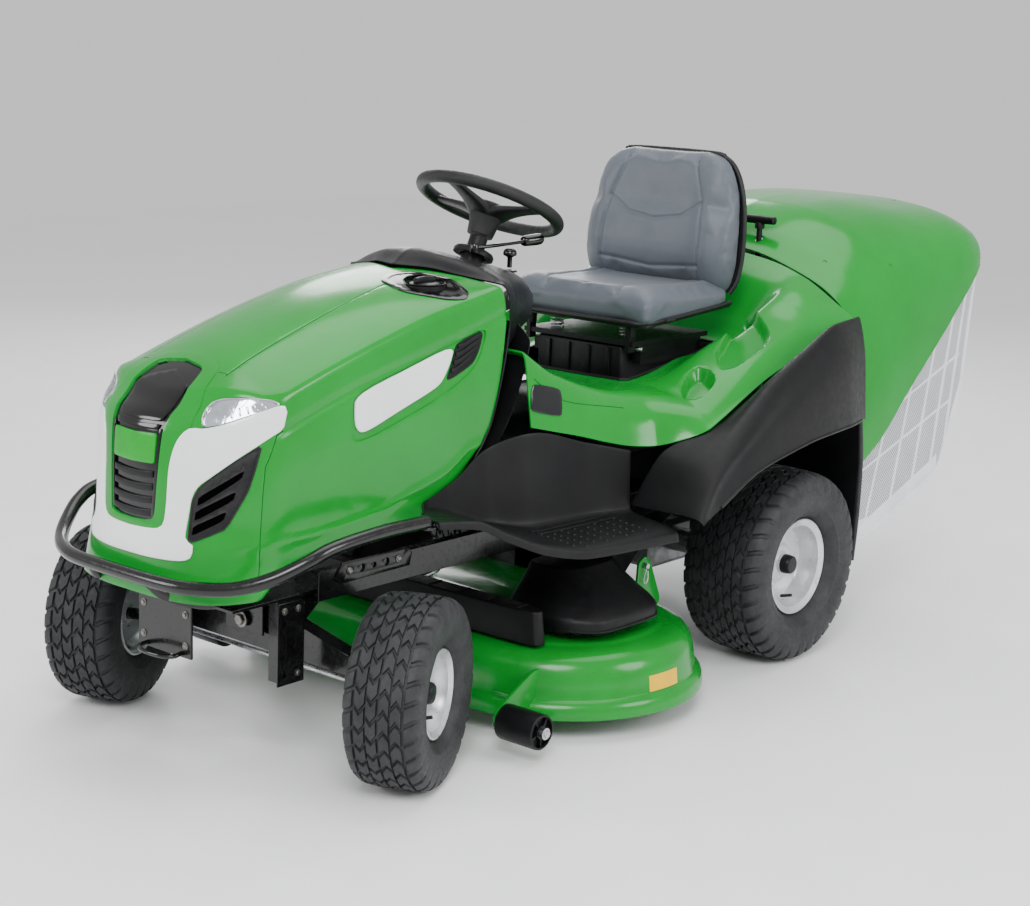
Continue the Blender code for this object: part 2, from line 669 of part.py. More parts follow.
def fender_rows():
    rows = []
    for y in (-0.128, -0.055, 0.08, 0.20, 0.34, 0.48, 0.60):
        inner_x = float(np.interp(y, (-0.128, -0.055, 0.04), (0.345, 0.378, 0.4435)))
        inner_z = float(np.interp(y, (-0.128, -0.055, 0.04, 0.252, 0.614), (0.428, 0.545, 0.591, 0.678, 0.782)))
        top = float(np.interp(y, (-0.132, -0.059, 0.162, 0.404, 0.511, 0.60), (0.426, 0.520, 0.673, 0.775, 0.804, 0.800)))
        arch = float(np.interp(y, (-0.18, 0.079, 0.282, 0.503, 0.60), (0.396, 0.507, 0.547, 0.555, 0.555)))
        arch = min(arch, top - 0.012)
        rows.append([(inner_x, y, inner_z), (0.486, y, top), (0.530, y, (2.0 * top + arch) / 3.0), (0.545, y, arch)])
    return rows


def footboard_rows():
    plan = [(-0.790, (0.333, 0.514), (0.335, 0.506), (0.374, 0.504), (0.377, 0.490)),
            (-0.700, (0.262, 0.516), (0.268, 0.500), (0.394, 0.495), (0.397, 0.478)),
            (-0.620, (0.252, 0.535), (0.260, 0.475), (0.414, 0.458), (0.417, 0.440)),
            (-0.520, (0.252, 0.590), (0.264, 0.440), (0.440, 0.418), (0.443, 0.400)),
            (-0.410, (0.288, 0.618), (0.305, 0.424), (0.461, 0.398), (0.464, 0.380)),
            (-0.250, (0.312, 0.580), (0.325, 0.424), (0.476, 0.393), (0.479, 0.375)),
            (-0.135, (0.345, 0.552), (0.352, 0.424), (0.484, 0.390), (0.487, 0.372))]
    return [[(x, y, z) for x, z in row] for y, *row in plan]


def fenders_and_footboards():
    for label, side in (("left", 1.0), ("right", -1.0)):
        fender = to_object(f"fender_{label}", flipped(one_side_mesh(fender_rows(), side)), black(), smooth=True)
        solidify(fender, SKIN)
        board = to_object(f"footboard_{label}", flipped(one_side_mesh(footboard_rows(), side)), black())
        solidify(board, 0.005)


REAR_PANEL_Y = 0.6225


def rear_panel():
    half = [(0.30, 0.157), (0.42, 0.165), (0.478, 0.225), (0.483, 0.44), (0.470, 0.57), (0.430, 0.72), (0.30, 0.76)]
    outline = half + [(-x, z) for x, z in reversed(half)]
    made = prism("rear_panel", outline, "Y", REAR_PANEL_Y, REAR_PANEL_Y + 0.012, black())
    window = box_mesh((-0.19, 0.60, 0.43), (0.19, 0.70, 0.66))
    return boolean(made, to_object("guide_panel_window", window, black()), "DIFFERENCE")


def discharge_chute():
    """Open duct from the deck's rear, over the transaxle, to the catcher's mouth."""
    stations = [(0.075, 0.13, 0.24, 0.15), (0.20, 0.255, 0.40, 0.155), (0.36, 0.33, 0.51, 0.16), (0.63, 0.45, 0.64, 0.17)]
    data = bmesh.new()
    rings = []
    for y, low, high, half in stations:
        rings.append([data.verts.new(point) for point in
                      ((half, y, low), (half, y, high), (-half, y, high), (-half, y, low))])
    for this, following in zip(rings, rings[1:]):
        for step in range(4):
            after = (step + 1) % 4
            data.faces.new((this[step], following[step], following[after], this[after]))
    made = to_object("discharge_chute", data, black())
    return solidify(made, SKIN)


# Steering wheel and controls
def column_point(along):
    """A point on the steering column, measured up from the wheel's centre."""
    return WHEEL_CENTRE + along * Vector((0.0, math.sin(WHEEL_TILT), math.cos(WHEEL_TILT)))


def steering():
    turn = Matrix.Translation(WHEEL_CENTRE) @ Matrix.Rotation(-WHEEL_TILT, 4, "X")
    grip = []
    for step in range(8):
        angle = 2.0 * math.pi * step / 8.0
        grip.append((STEERING_RADIUS + STEERING_GRIP * math.cos(angle), STEERING_GRIP * math.sin(angle)))
    hub = [(0.0, -0.075), (0.030, -0.075), (0.042, -0.03), (0.045, -0.008), (0.0, -0.008)]
    parts = [lathe_mesh(grip, 32), lathe_mesh(hub, 16)]
    for angle in (0.0, 180.0, 270.0):
        half = 0.020 if angle else 0.021
        spoke = prism_mesh([(0.02, -half), (STEERING_RADIUS, -0.7 * half), (STEERING_RADIUS, 0.7 * half), (0.02, half)],
                           "Z", -0.009, 0.004)
        bmesh.ops.rotate(spoke, verts=spoke.verts[:], matrix=Matrix.Rotation(math.radians(angle), 3, "Z"))
        low_in = [vertex for vertex in spoke.verts if vertex.co.xy.length < 0.04]
        bmesh.ops.translate(spoke, verts=low_in, vec=(0.0, 0.0, -0.022))
        parts.append(spoke)
    for data in parts:
        bmesh.ops.transform(data, matrix=turn, verts=data.verts[:])
    union("steering_wheel", parts, black(), WHEEL_CENTRE)
    column = rod_mesh(column_point(-0.60), column_point(-0.077), 0.026, 16)
    to_object("steering_column", column, steel_black(), smooth=True)


LEVER_PIVOT = Vector((0.045, -0.335, 0.956))
KNOB_BASE = Vector((0.085, -0.262, 0.0))


def console_controls():
    knob = ball_mesh((0.080, -0.165, 0.994), 0.014)
    collar = rod_mesh(LEVER_PIVOT + Vector((0.0, 0.0, 0.016)), LEVER_PIVOT + Vector((0.0, 0.0, 0.034)), 0.010, 10)
    stem = sweep_mesh([LEVER_PIVOT + Vector((0.0, 0.0, 0.028)), (0.056, -0.29, 0.984), (0.077, -0.175, 0.992)], 0.005)
    union("column_lever", [stem, knob, collar], black(), LEVER_PIVOT + Vector((0.0, 0.0, 0.03)))
    profile = [(0.0, 0.938), (0.006, 0.938), (0.006, 0.962), (0.015, 0.966), (0.013, 0.978), (0.0, 0.981)]
    to_object("choke_knob", lathe_mesh(profile, 12, None, KNOB_BASE), black(), KNOB_BASE + Vector((0, 0, 0.938)), True)


def pedals():
    """Treadle pedals hinged at their lower edge above the right footboard."""
    outline = [(-0.560, 0.505), (-0.548, 0.512), (-0.628, 0.606), (-0.640, 0.599)]
    for name, low, high in (("brake_pedal", -0.395, -0.350), ("drive_pedal", -0.342, -0.303)):
        prism(name, outline, "X", low, high, rubber(), ((low + high) / 2.0, -0.554, 0.509))


HEIGHT_LEVER_X = -0.336
HEIGHT_LEVER_PIVOT = Vector((HEIGHT_LEVER_X, 0.10, 0.50))


def height_lever():
    bar = box_mesh((HEIGHT_LEVER_X - 0.004, 0.085, 0.485), (HEIGHT_LEVER_X + 0.004, 0.115, 0.80))
    grip = box_mesh((HEIGHT_LEVER_X - 0.014, 0.080, 0.795), (HEIGHT_LEVER_X + 0.014, 0.120, 0.90), 0.006)
    parts = [bar, grip]
    lean = Matrix.Rotation(math.radians(16.0), 3, "X")
    for data in parts:
        bmesh.ops.rotate(data, verts=data.verts[:], cent=HEIGHT_LEVER_PIVOT, matrix=lean)
    union("height_lever", parts, steel_black(), HEIGHT_LEVER_PIVOT)


# Cutting deck
ROLLER = Vector((0.47, -0.623, 0.067))
ROLLER_HALF = 0.050


def deck_ring(radius, z, points=12):
    """A stadium round both spindles, from its rear centre to its front centre at x >= 0."""
    ring = [(0.0, SPINDLE_Y + radius, z)]
    for step in range(points + 1):
        angle = math.radians(90.0 - 180.0 * step / points)
        ring.append((SPINDLE_X + radius * math.cos(angle), SPINDLE_Y + radius * math.sin(angle), z))
    ring.append((0.0, SPINDLE_Y - radius, z))
    return ring


def deck_shell():
    """Stamped deck: flared lip, skirt, rounded shoulder and flat top. The rear centre is open for the chute."""
    levels = [(0.322, DECK_LIP), (0.318, DECK_LIP + 0.030), (0.303, DECK_LIP + 0.040), (0.298, 0.135),
              (0.282, 0.168), (0.250, 0.182), (0.150, 0.186)]
    rows = [deck_ring(radius, z) for radius, z in levels]
    data = sheet_mesh(rows)
    inner = sorted((edge for edge in data.edges if edge.is_boundary and edge.verts[0].co.z > 0.18
                    and edge.verts[1].co.z > 0.18), key=lambda edge: edge.index)
    bmesh.ops.contextual_create(data, geom=inner)
    bmesh.ops.recalc_face_normals(data, faces=data.faces[:])
    if sum(face.normal.z * face.calc_area() for face in data.faces) < 0.0:
        flipped(data)
    made = to_object("deck_shell", data, green(), smooth=True)
    solidify(made, 0.003)
    for number, side in enumerate((1.0, -1.0)):
        hole = rod_mesh((side * SPINDLE_X, SPINDLE_Y, 0.12), (side * SPINDLE_X, SPINDLE_Y, 0.25), 0.022, 12)
        boolean(made, to_object(f"guide_spindle_{number}", hole, green()), "DIFFERENCE")
    mouth = box_mesh((-0.13, 0.02, 0.02), (0.13, 0.12, 0.165))
    boolean(made, to_object("guide_deck_mouth", mouth, green()), "DIFFERENCE")
    arm = [(-0.646, 0.052), (-0.600, 0.052), (-0.520, 0.075), (-0.480, 0.115), (-0.480, 0.150), (-0.560, 0.150),
           (-0.646, 0.092)]
    inner = ROLLER.x - ROLLER_HALF
    for label, side in (("left", 1.0), ("right", -1.0)):
        low, high = sorted((side * (inner - 0.012), side * (inner - 0.004)))
        boolean(made, to_object(f"guide_roller_arm_{label}", prism_mesh(arm, "X", low, high), green()), "UNION")
        pin = rod_mesh((side * (inner - 0.008), ROLLER.y, ROLLER.z),
                       (side * (ROLLER.x + ROLLER_HALF + 0.008), ROLLER.y, ROLLER.z), 0.0072, 12)
        boolean(made, to_object(f"guide_roller_pin_{label}", pin, green()), "UNION")
    return made


COVER_LOW = 0.1875


def deck_covers():
    """Three black belt covers that stand on the deck's top."""
    front = [(-0.36, -0.44), (-0.40, -0.47), (-0.38, -0.505), (0.38, -0.505), (0.40, -0.47), (0.36, -0.44)]
    data = prism_mesh(front, "Z", COVER_LOW, 0.262)
    to_object("deck_cover_front", data, black())
    for label, side in (("left", 1.0), ("right", -1.0)):
        base = [(0.215, -0.428), (0.40, -0.428), (0.475, -0.375), (0.475, -0.17), (0.40, -0.105), (0.215, -0.105)]
        top = [(0.235, -0.36), (0.33, -0.36), (0.365, -0.32), (0.365, -0.20), (0.33, -0.165), (0.235, -0.165)]
        rings = [[(side * x, y, COVER_LOW + 0.020) for x, y in base], [(side * x, y, 0.232) for x, y in base],
                 [(side * x, y, 0.322) for x, y in top]]
        data = bmesh.new()
        made = [[data.verts.new(point) for point in ring] for ring in rings]
        for this, following in zip(made, made[1:]):
            for step in range(len(base)):
                after = (step + 1) % len(base)
                data.faces.new((this[step], this[after], following[after], following[step]))
        data.faces.new(made[0])
        data.faces.new(made[-1])
        bmesh.ops.recalc_face_normals(data, faces=data.faces[:])
        to_object(f"deck_cover_{label}", data, black())


BLADE_Z = 0.100


def blades():
    """Each blade with its spindle and pulley hub, turning as one. The two are set a quarter turn apart."""
    for label, side, angle in (("left", 1.0, 0.0), ("right", -1.0, 90.0)):
        centre = Vector((side * SPINDLE_X, SPINDLE_Y, 0.0))
        half = BLADE_LENGTH / 2.0
        outline = [(-half, -0.018), (-half, 0.026), (-half + 0.09, 0.026), (-half + 0.10, 0.022), (half, 0.022),
                   (half, -0.026), (half - 0.09, -0.026), (half - 0.10, -0.022), (-half, -0.022)][1:]
        bar = prism_mesh(outline, "Z", BLADE_Z - 0.002, BLADE_Z + 0.002)
        bmesh.ops.rotate(bar, verts=bar.verts[:], matrix=Matrix.Rotation(math.radians(angle), 3, "Z"))
        bmesh.ops.translate(bar, verts=bar.verts[:], vec=centre)
        shaft = [(0.0, BLADE_Z - 0.012), (0.016, BLADE_Z - 0.012), (0.016, COVER_LOW + 0.015), (0.0, COVER_LOW + 0.015)]
        union(f"blade_{label}", [lathe_mesh(shaft, 16, None, centre), bar], bright_steel(), centre)


def rollers():
    for label, side in (("left", 1.0), ("right", -1.0)):
        centre = Vector((side * ROLLER.x, ROLLER.y, ROLLER.z))
        half = ROLLER_HALF
        profile = [(0.009, -half), (0.0365, -half), (0.0375, 0.004 - half), (0.0375, half - 0.004), (0.0365, half),
                   (0.009, half)]
        data = lathe_mesh(profile, 16, X_AXIS, centre)
        to_object(f"roller_{label}", data, black(), centre, True)


# Seat
def seat():
    profile = [(0.078, 0.800), (0.070, 0.835), (0.095, 0.862), (0.200, 0.850), (0.350, 0.852), (0.384, 0.895),
               (0.405, 1.140), (0.425, 1.176), (0.462, 1.184), (0.488, 1.150), (0.476, 0.950), (0.455, 0.845),
               (0.420, 0.825), (0.120, 0.789)]
    data = prism_mesh(profile, "X", -SEAT_HALF, SEAT_HALF)
    ends = [edge for edge in data.edges if abs(edge.verts[0].co.x - edge.verts[1].co.x) < 1e-6]
    bmesh.ops.bevel(data, geom=ends, offset=0.012, segments=1, affect="EDGES")
    to_object("seat_cushion", data, vinyl(), (0.0, 0.105, 0.772))
    plate = box_mesh((-0.165, 0.098, 0.735), (0.165, 0.40, 0.747))
    runners = [box_mesh((side * 0.15 - 0.012, 0.135, 0.690), (side * 0.15 + 0.012, 0.36, 0.737)) for side in (1, -1)]
    ears = [box_mesh((side * 0.15 - 0.006, 0.095, 0.720), (side * 0.15 + 0.006, 0.118, 0.780)) for side in (1, -1)]
    rod = rod_mesh((-0.173, 0.132, 0.7265), (0.173, 0.132, 0.7265), 0.0065, 10)
    union("seat_carriage", [plate, rod] + runners + ears, steel_black(), (0.0, 0.25, 0.741))


# Grass catcher
CATCHER_HINGE = Vector((0.0, 0.648, 0.925))
CATCHER_FRONT = 0.6365


def lid_rows():
    """Lengthwise stations of the lid, each from the centre line out and down to the lower edge."""
    return [
        [(0.0, CATCHER_FRONT, 0.940), (0.13, CATCHER_FRONT, 0.925), (0.254, CATCHER_FRONT, 0.889), (0.352, CATCHER_FRONT, 0.845),
         (0.408, CATCHER_FRONT, 0.795), (0.452, CATCHER_FRONT, 0.66), (0.472, CATCHER_FRONT, 0.566), (0.483, CATCHER_FRONT, 0.435)],
        [(0.0, 0.72, 0.990), (0.13, 0.72, 0.982), (0.258, 0.72, 0.940), (0.355, 0.72, 0.885),
         (0.412, 0.72, 0.828), (0.452, 0.72, 0.70), (0.470, 0.72, 0.600), (0.480, 0.72, 0.478)],
        [(0.0, 0.85, 1.036), (0.13, 0.85, 1.030), (0.262, 0.85, 0.995), (0.358, 0.85, 0.935),
         (0.414, 0.85, 0.868), (0.449, 0.85, 0.77), (0.464, 0.85, 0.680), (0.472, 0.85, 0.575)],
        [(0.0, 1.05, 1.046), (0.13, 1.05, 1.043), (0.262, 1.05, 1.022), (0.358, 1.05, 0.980),
         (0.414, 1.05, 0.925), (0.444, 1.05, 0.85), (0.456, 1.05, 0.790), (0.462, 1.05, 0.722)],
        [(0.0, 1.22, 1.040), (0.13, 1.22, 1.038), (0.258, 1.22, 1.024), (0.352, 1.22, 0.998),
         (0.410, 1.22, 0.962), (0.436, 1.22, 0.92), (0.446, 1.22, 0.885), (0.450, 1.22, 0.852)],
        [(0.0, 1.305, 1.010), (0.13, 1.304, 1.008), (0.256, 1.300, 0.998), (0.348, 1.292, 0.978),
         (0.402, 1.285, 0.950), (0.426, 1.275, 0.922), (0.434, 1.268, 0.900), (0.438, 1.262, 0.880)],
        [(0.0, 1.310, 0.890), (0.13, 1.309, 0.890), (0.256, 1.306, 0.889), (0.346, 1.300, 0.888),
         (0.396, 1.292, 0.887), (0.418, 1.282, 0.886), (0.426, 1.274, 0.885), (0.430, 1.266, 0.878)],
    ]


HANDLE_X = 0.12
HANDLE_Y = 0.672
HANDLE_Z = 1.000


def catcher():
    made = to_object("catcher_lid", flipped(sheet_mesh(lid_rows())), green(), CATCHER_HINGE, True)
    solidify(made, SKIN)
    for number, side in enumerate((1.0, -1.0)):
        hole = rod_mesh((side * HANDLE_X, HANDLE_Y, 0.85), (side * HANDLE_X, HANDLE_Y, 1.02), 0.010, 12)
        boolean(made, to_object(f"guide_handle_hole_{number}", hole, green()), "DIFFERENCE")
    basket()
    posts = [rod_mesh((side * HANDLE_X, HANDLE_Y, 0.72), (side * HANDLE_X, HANDLE_Y, HANDLE_Z), 0.007, 10)
             for side in (1.0, -1.0)]
    grip = rod_mesh((-0.165, HANDLE_Y, HANDLE_Z), (0.165, HANDLE_Y, HANDLE_Z), 0.011, 12)
    union("catcher_handle", [grip] + posts, black(), (0.0, HANDLE_Y, 0.90))


def basket():
    """Open tray of floor, rear wall and two sides. The lid closes its top, and its front is the mouth."""
    side_profile = [(0.700, 0.420), (0.722, 0.227), (0.775, 0.213), (1.138, 0.334), (1.228, 0.555), (1.262, 0.862)]
    half = 0.425
    data = bmesh.new()
    left = [data.verts.new((half, y, z)) for y, z in side_profile]
    right = [data.verts.new((-half, y, z)) for y, z in side_profile]
    data.faces.new(left)
    data.faces.new(list(reversed(right)))
    for index in range(1, len(side_profile) - 1):
        data.faces.new((left[index + 1], left[index], right[index], right[index + 1]))
    bmesh.ops.recalc_face_normals(data, faces=data.faces[:])
    centre = Vector((0.0, 1.0, 0.5))
    outward = sum(face.normal.dot(face.calc_center_median() - centre) for face in data.faces)
    if outward < 0.0:
        flipped(data)
    made = to_object("catcher_basket", data, basket_mesh(), CATCHER_HINGE)
    return solidify(made, SKIN)


def centre_on_origin():
    for made in bpy.data.objects:
        made.location.y += CENTRE_SHIFT_Y


def main():
    for old in list(bpy.data.objects):
        bpy.data.objects.remove(old, do_unlink=True)
    frame_rails()
    front_crossmember()
    bumper_bar()
    hood_shell()
    hood_panels()
    wheels()
    front_axle()
    for label, side in (("left", 1.0), ("right", -1.0)):
        knuckle(label, side)
    tie_rod()
    engine()
    fuel_tank()
    fuel_cap()
    battery()
    transaxle()
    dash_console()
    rear_body_shell()
    fenders_and_footboards()
    rear_panel()
    discharge_chute()
    steering()
    console_controls()
    pedals()
    height_lever()
    deck_shell()
    deck_covers()
    blades()
    rollers()
    seat()
    catcher()
    centre_on_origin()


main()
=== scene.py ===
"""Looks of the riding lawn mower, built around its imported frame."""
import math

import bmesh
import bpy
import numpy as np
from mathutils import Matrix, Vector
from mathutils.bvhtree import BVHTree
from mathutils.geometry import delaunay_2d_cdt


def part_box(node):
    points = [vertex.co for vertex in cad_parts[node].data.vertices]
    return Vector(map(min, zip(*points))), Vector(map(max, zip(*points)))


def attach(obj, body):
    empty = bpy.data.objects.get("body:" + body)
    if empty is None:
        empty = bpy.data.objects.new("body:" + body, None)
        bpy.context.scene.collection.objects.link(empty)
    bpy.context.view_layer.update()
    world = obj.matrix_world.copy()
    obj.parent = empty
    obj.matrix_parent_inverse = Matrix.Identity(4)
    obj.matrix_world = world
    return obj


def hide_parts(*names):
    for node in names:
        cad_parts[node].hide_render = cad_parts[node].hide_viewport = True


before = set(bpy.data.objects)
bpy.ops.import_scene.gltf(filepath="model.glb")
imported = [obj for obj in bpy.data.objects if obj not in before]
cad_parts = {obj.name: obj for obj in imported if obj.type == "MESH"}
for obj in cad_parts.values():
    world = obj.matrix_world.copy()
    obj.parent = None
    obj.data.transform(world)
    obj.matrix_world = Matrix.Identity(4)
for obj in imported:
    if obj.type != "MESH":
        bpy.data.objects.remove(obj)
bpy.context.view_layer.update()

CAMERA_PLACE = Vector((2.9015, -3.6124, 1.4568))
CAMERA_AZIMUTH = math.radians(39.811)
CAMERA_ELEVATION = math.radians(12.081)
CAMERA_ROLL = math.radians(2.092)
# Shapes below are written in the drawing's own frame, whose origin lies this far along y
DATUM_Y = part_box("rear_panel")[0].y - 0.6225
BOTH = (1.0, -1.0)
SIDES = (("left", 1.0), ("right", -1.0))


def camera():
    data = bpy.data.cameras.new("camera")
    data.sensor_width = 36.0
    data.lens = 69.73
    data.clip_end = 60.0
    made = bpy.data.objects.new("camera", data)
    back = Vector((math.sin(CAMERA_AZIMUTH) * math.cos(CAMERA_ELEVATION),
                   -math.cos(CAMERA_AZIMUTH) * math.cos(CAMERA_ELEVATION), math.sin(CAMERA_ELEVATION)))
    right = Vector((math.cos(CAMERA_AZIMUTH), math.sin(CAMERA_AZIMUTH), 0.0))
    up = back.cross(right)
    across = right * math.cos(CAMERA_ROLL) + up * math.sin(CAMERA_ROLL)
    upward = up * math.cos(CAMERA_ROLL) - right * math.sin(CAMERA_ROLL)
    turn = Matrix((across, upward, back)).transposed().to_4x4()
    made.matrix_world = Matrix.Translation(CAMERA_PLACE) @ turn
    bpy.context.scene.collection.objects.link(made)
    bpy.context.scene.camera = made


# Materials
COAT_ROUGHNESS = 0.05
GRAIN_DEPTH = 0.0006


def node(tree, kind, **sockets):
    made = tree.nodes.new(kind)
    for name, value in sockets.items():
        made.inputs[name.replace("_", " ")].default_value = value
    return made


def surface(name, dark, light, rough=(0.4, 0.5), scale=8.0, bump=0.0, bump_scale=400.0, metallic=0.0,
            coat=0.0, texture="ShaderNodeTexNoise", sheen=0.0, gloss=0.5):
    """Two colours mixed by noise, roughness that wanders, and a fine relief."""
    made = bpy.data.materials.new(name)
    made.use_nodes = True
    tree = made.node_tree
    shader = tree.nodes["Principled BSDF"]
    place = tree.nodes.new("ShaderNodeTexCoord").outputs["Object"]
    broad = node(tree, "ShaderNodeTexNoise", Scale=scale, Detail=4.0, Roughness=0.6)
    tree.links.new(place, broad.inputs["Vector"])
    ramp = tree.nodes.new("ShaderNodeValToRGB")
    ramp.color_ramp.elements[0].position = 0.35
    ramp.color_ramp.elements[1].position = 0.65
    ramp.color_ramp.elements[0].color = (*dark, 1.0)
    ramp.color_ramp.elements[1].color = (*light, 1.0)
    tree.links.new(broad.outputs[0], ramp.inputs["Fac"])
    tree.links.new(ramp.outputs["Color"], shader.inputs["Base Color"])
    fine = node(tree, "ShaderNodeTexNoise", Scale=scale * 5.0, Detail=3.0)
    tree.links.new(place, fine.inputs["Vector"])
    spread = node(tree, "ShaderNodeMapRange", From_Min=0.3, From_Max=0.7, To_Min=rough[0],
                  To_Max=rough[1])
    tree.links.new(fine.outputs[0], spread.inputs["Value"])
    tree.links.new(spread.outputs["Result"], shader.inputs["Roughness"])
    if bump > 0.0:
        grain = node(tree, texture, Scale=bump_scale)
        tree.links.new(place, grain.inputs["Vector"])
        relief = node(tree, "ShaderNodeBump", Strength=bump, Distance=GRAIN_DEPTH)
        tree.links.new(grain.outputs[0], relief.inputs["Height"])
        tree.links.new(relief.outputs["Normal"], shader.inputs["Normal"])
    shader.inputs["Metallic"].default_value = metallic
    shader.inputs["Specular IOR Level"].default_value = gloss
    shader.inputs["Coat Weight"].default_value = coat
    shader.inputs["Coat Roughness"].default_value = COAT_ROUGHNESS
    shader.inputs["Sheen Weight"].default_value = sheen
    return made


def materials():
    voronoi = "ShaderNodeTexVoronoi"
    return {
        "green": surface("green_gloss", (0.0, 0.222, 0.018), (0.0, 0.250, 0.023), (0.15, 0.21), 5.0, 0.02,
                         900.0, coat=0.10, gloss=0.30),
        "deck_green": surface("deck_powder_coat", (0.0, 0.205, 0.016), (0.0, 0.240, 0.021), (0.18, 0.27),
                              9.0, 0.10, 260.0, coat=0.10, gloss=0.32),
        "white": surface("white_gloss", (0.80, 0.81, 0.83), (0.85, 0.86, 0.88), (0.14, 0.20), 7.0, 0.02,
                         900.0, coat=0.3),
        "black": surface("black_grained", (0.0030, 0.0031, 0.0036), (0.0055, 0.0056, 0.0064),
                         (0.34, 0.46), 14.0, 0.35, 900.0, texture=voronoi, gloss=0.22),
        "black_gloss": surface("black_piano", (0.0012, 0.0012, 0.0016), (0.0025, 0.0025, 0.0030),
                               (0.09, 0.15), 9.0, coat=0.2, gloss=0.40),
        "black_sheen": surface("black_soft", (0.0034, 0.0035, 0.0042), (0.0064, 0.0066, 0.0078),
                               (0.27, 0.37), 14.0, 0.2, 1200.0, texture=voronoi, gloss=0.24),
        "vent": surface("vent_plastic", (0.005, 0.005, 0.006), (0.009, 0.009, 0.010), (0.22, 0.32), 14.0,
                        0.1, 1200.0, texture=voronoi, gloss=0.4),
        # painted shadow: near-black, only for the floors of the vent slots
        "slot_shadow": surface("shadow_black", (0.0004, 0.0004, 0.0005), (0.0008, 0.0008, 0.0010), (0.7, 0.9),
                        14.0, gloss=0.02),
        "steel_black": surface("black_enamel", (0.0020, 0.0020, 0.0024), (0.0050, 0.0050, 0.0055),
                               (0.16, 0.30), 18.0, 0.08, 260.0, coat=0.15, gloss=0.40),
        "rubber": surface("tyre_rubber", (0.012, 0.0125, 0.014), (0.024, 0.025, 0.028), (0.52, 0.70),
                          26.0, 0.5, 500.0, gloss=0.4),
        "grip": surface("soft_rubber", (0.0045, 0.0045, 0.0052), (0.0085, 0.0085, 0.0095), (0.36, 0.50),
                        30.0, 0.5, 1500.0, texture=voronoi, gloss=0.36),
        "silver": surface("silver_enamel", (0.52, 0.53, 0.55), (0.70, 0.71, 0.73), (0.26, 0.40), 12.0,
                          0.12, 300.0, metallic=0.6),
        "steel": surface("zinc_steel", (0.42, 0.42, 0.44), (0.62, 0.62, 0.64), (0.22, 0.42), 30.0, 0.2,
                         240.0, metallic=1.0),
        "cast": surface("cast_metal", (0.30, 0.30, 0.31), (0.46, 0.46, 0.47), (0.38, 0.58), 16.0, 0.6,
                        220.0, metallic=0.85),
        "chrome": surface("reflector_chrome", (0.80, 0.81, 0.84), (0.92, 0.93, 0.95), (0.04, 0.10), 20.0,
                          metallic=1.0),
        "zinc": surface("dull_zinc", (0.16, 0.155, 0.14), (0.26, 0.25, 0.23), (0.32, 0.48), 40.0, 0.2,
                        300.0, metallic=1.0),
        "vinyl": surface("grey_vinyl", (0.068, 0.080, 0.098), (0.084, 0.098, 0.120), (0.36, 0.46), 6.0,
                         0.40, 620.0, texture=voronoi, sheen=0.10, gloss=0.45),
        "piping": surface("seat_edge", (0.0045, 0.0045, 0.0055), (0.0090, 0.0090, 0.0100), (0.38, 0.50),
                          30.0, 0.4, 700.0, gloss=0.36),
        "mesh_grey": surface("basket_plastic", (0.70, 0.72, 0.75), (0.78, 0.80, 0.83), (0.42, 0.55), 10.0,
                             0.10, 500.0),
        "yellow": surface("yellow_film", (0.75, 0.42, 0.0), (0.80, 0.48, 0.0), (0.28, 0.36), 14.0, 0.05,
                          500.0, gloss=0.3),
        "badge": surface("badge_green", (0.0, 0.260, 0.014), (0.0, 0.300, 0.018), (0.20, 0.28), 18.0, 0.1,
                         500.0, gloss=0.3),
        "plate": surface("dark_plate", (0.0025, 0.0025, 0.0035), (0.0055, 0.0060, 0.0080), (0.14, 0.22),
                         10.0, 0.05, 600.0, coat=0.2, gloss=0.4),
    }


def lens_material():
    made = bpy.data.materials.new("clear_lens")
    made.use_nodes = True
    tree = made.node_tree
    shader = tree.nodes["Principled BSDF"]
    shader.inputs["Base Color"].default_value = (0.95, 0.97, 1.0, 1.0)
    shader.inputs["Roughness"].default_value = 0.03
    shader.inputs["Transmission Weight"].default_value = 1.0
    shader.inputs["IOR"].default_value = 1.25
    place = tree.nodes.new("ShaderNodeTexCoord").outputs["Object"]
    wave = node(tree, "ShaderNodeTexWave", Scale=60.0, Distortion=0.5)
    tree.links.new(place, wave.inputs["Vector"])
    relief = node(tree, "ShaderNodeBump", Strength=0.15, Distance=0.0006)
    tree.links.new(wave.outputs["Fac"], relief.inputs["Height"])
    tree.links.new(relief.outputs["Normal"], shader.inputs["Normal"])
    return made


M = materials()
M["lens"] = lens_material()


# Numbers and curves
def smooth(at, xs, ys):
    """Monotone cubic through the given points, flat where the data turn."""
    xs = np.asarray(xs, float)
    ys = np.asarray(ys, float)
    steps = np.diff(xs)
    slopes = np.diff(ys) / steps
    tangents = np.zeros(len(xs))
    tangents[0], tangents[-1] = slopes[0], slopes[-1]
    for i in range(1, len(xs) - 1):
        if slopes[i - 1] * slopes[i] > 0.0:
            before, after = 2.0 * steps[i] + steps[i - 1], steps[i] + 2.0 * steps[i - 1]
            tangents[i] = (before + after) / (before / slopes[i - 1] + after / slopes[i])
    at = np.clip(np.asarray(at, float), xs[0], xs[-1])
    i = np.clip(np.searchsorted(xs, at) - 1, 0, len(xs) - 2)
    t = (at - xs[i]) / steps[i]
    return ((2 * t ** 3 - 3 * t ** 2 + 1) * ys[i] + (t ** 3 - 2 * t ** 2 + t) * steps[i] * tangents[i]
            + (3 * t ** 2 - 2 * t ** 3) * ys[i + 1] + (t ** 3 - t ** 2) * steps[i] * tangents[i + 1])


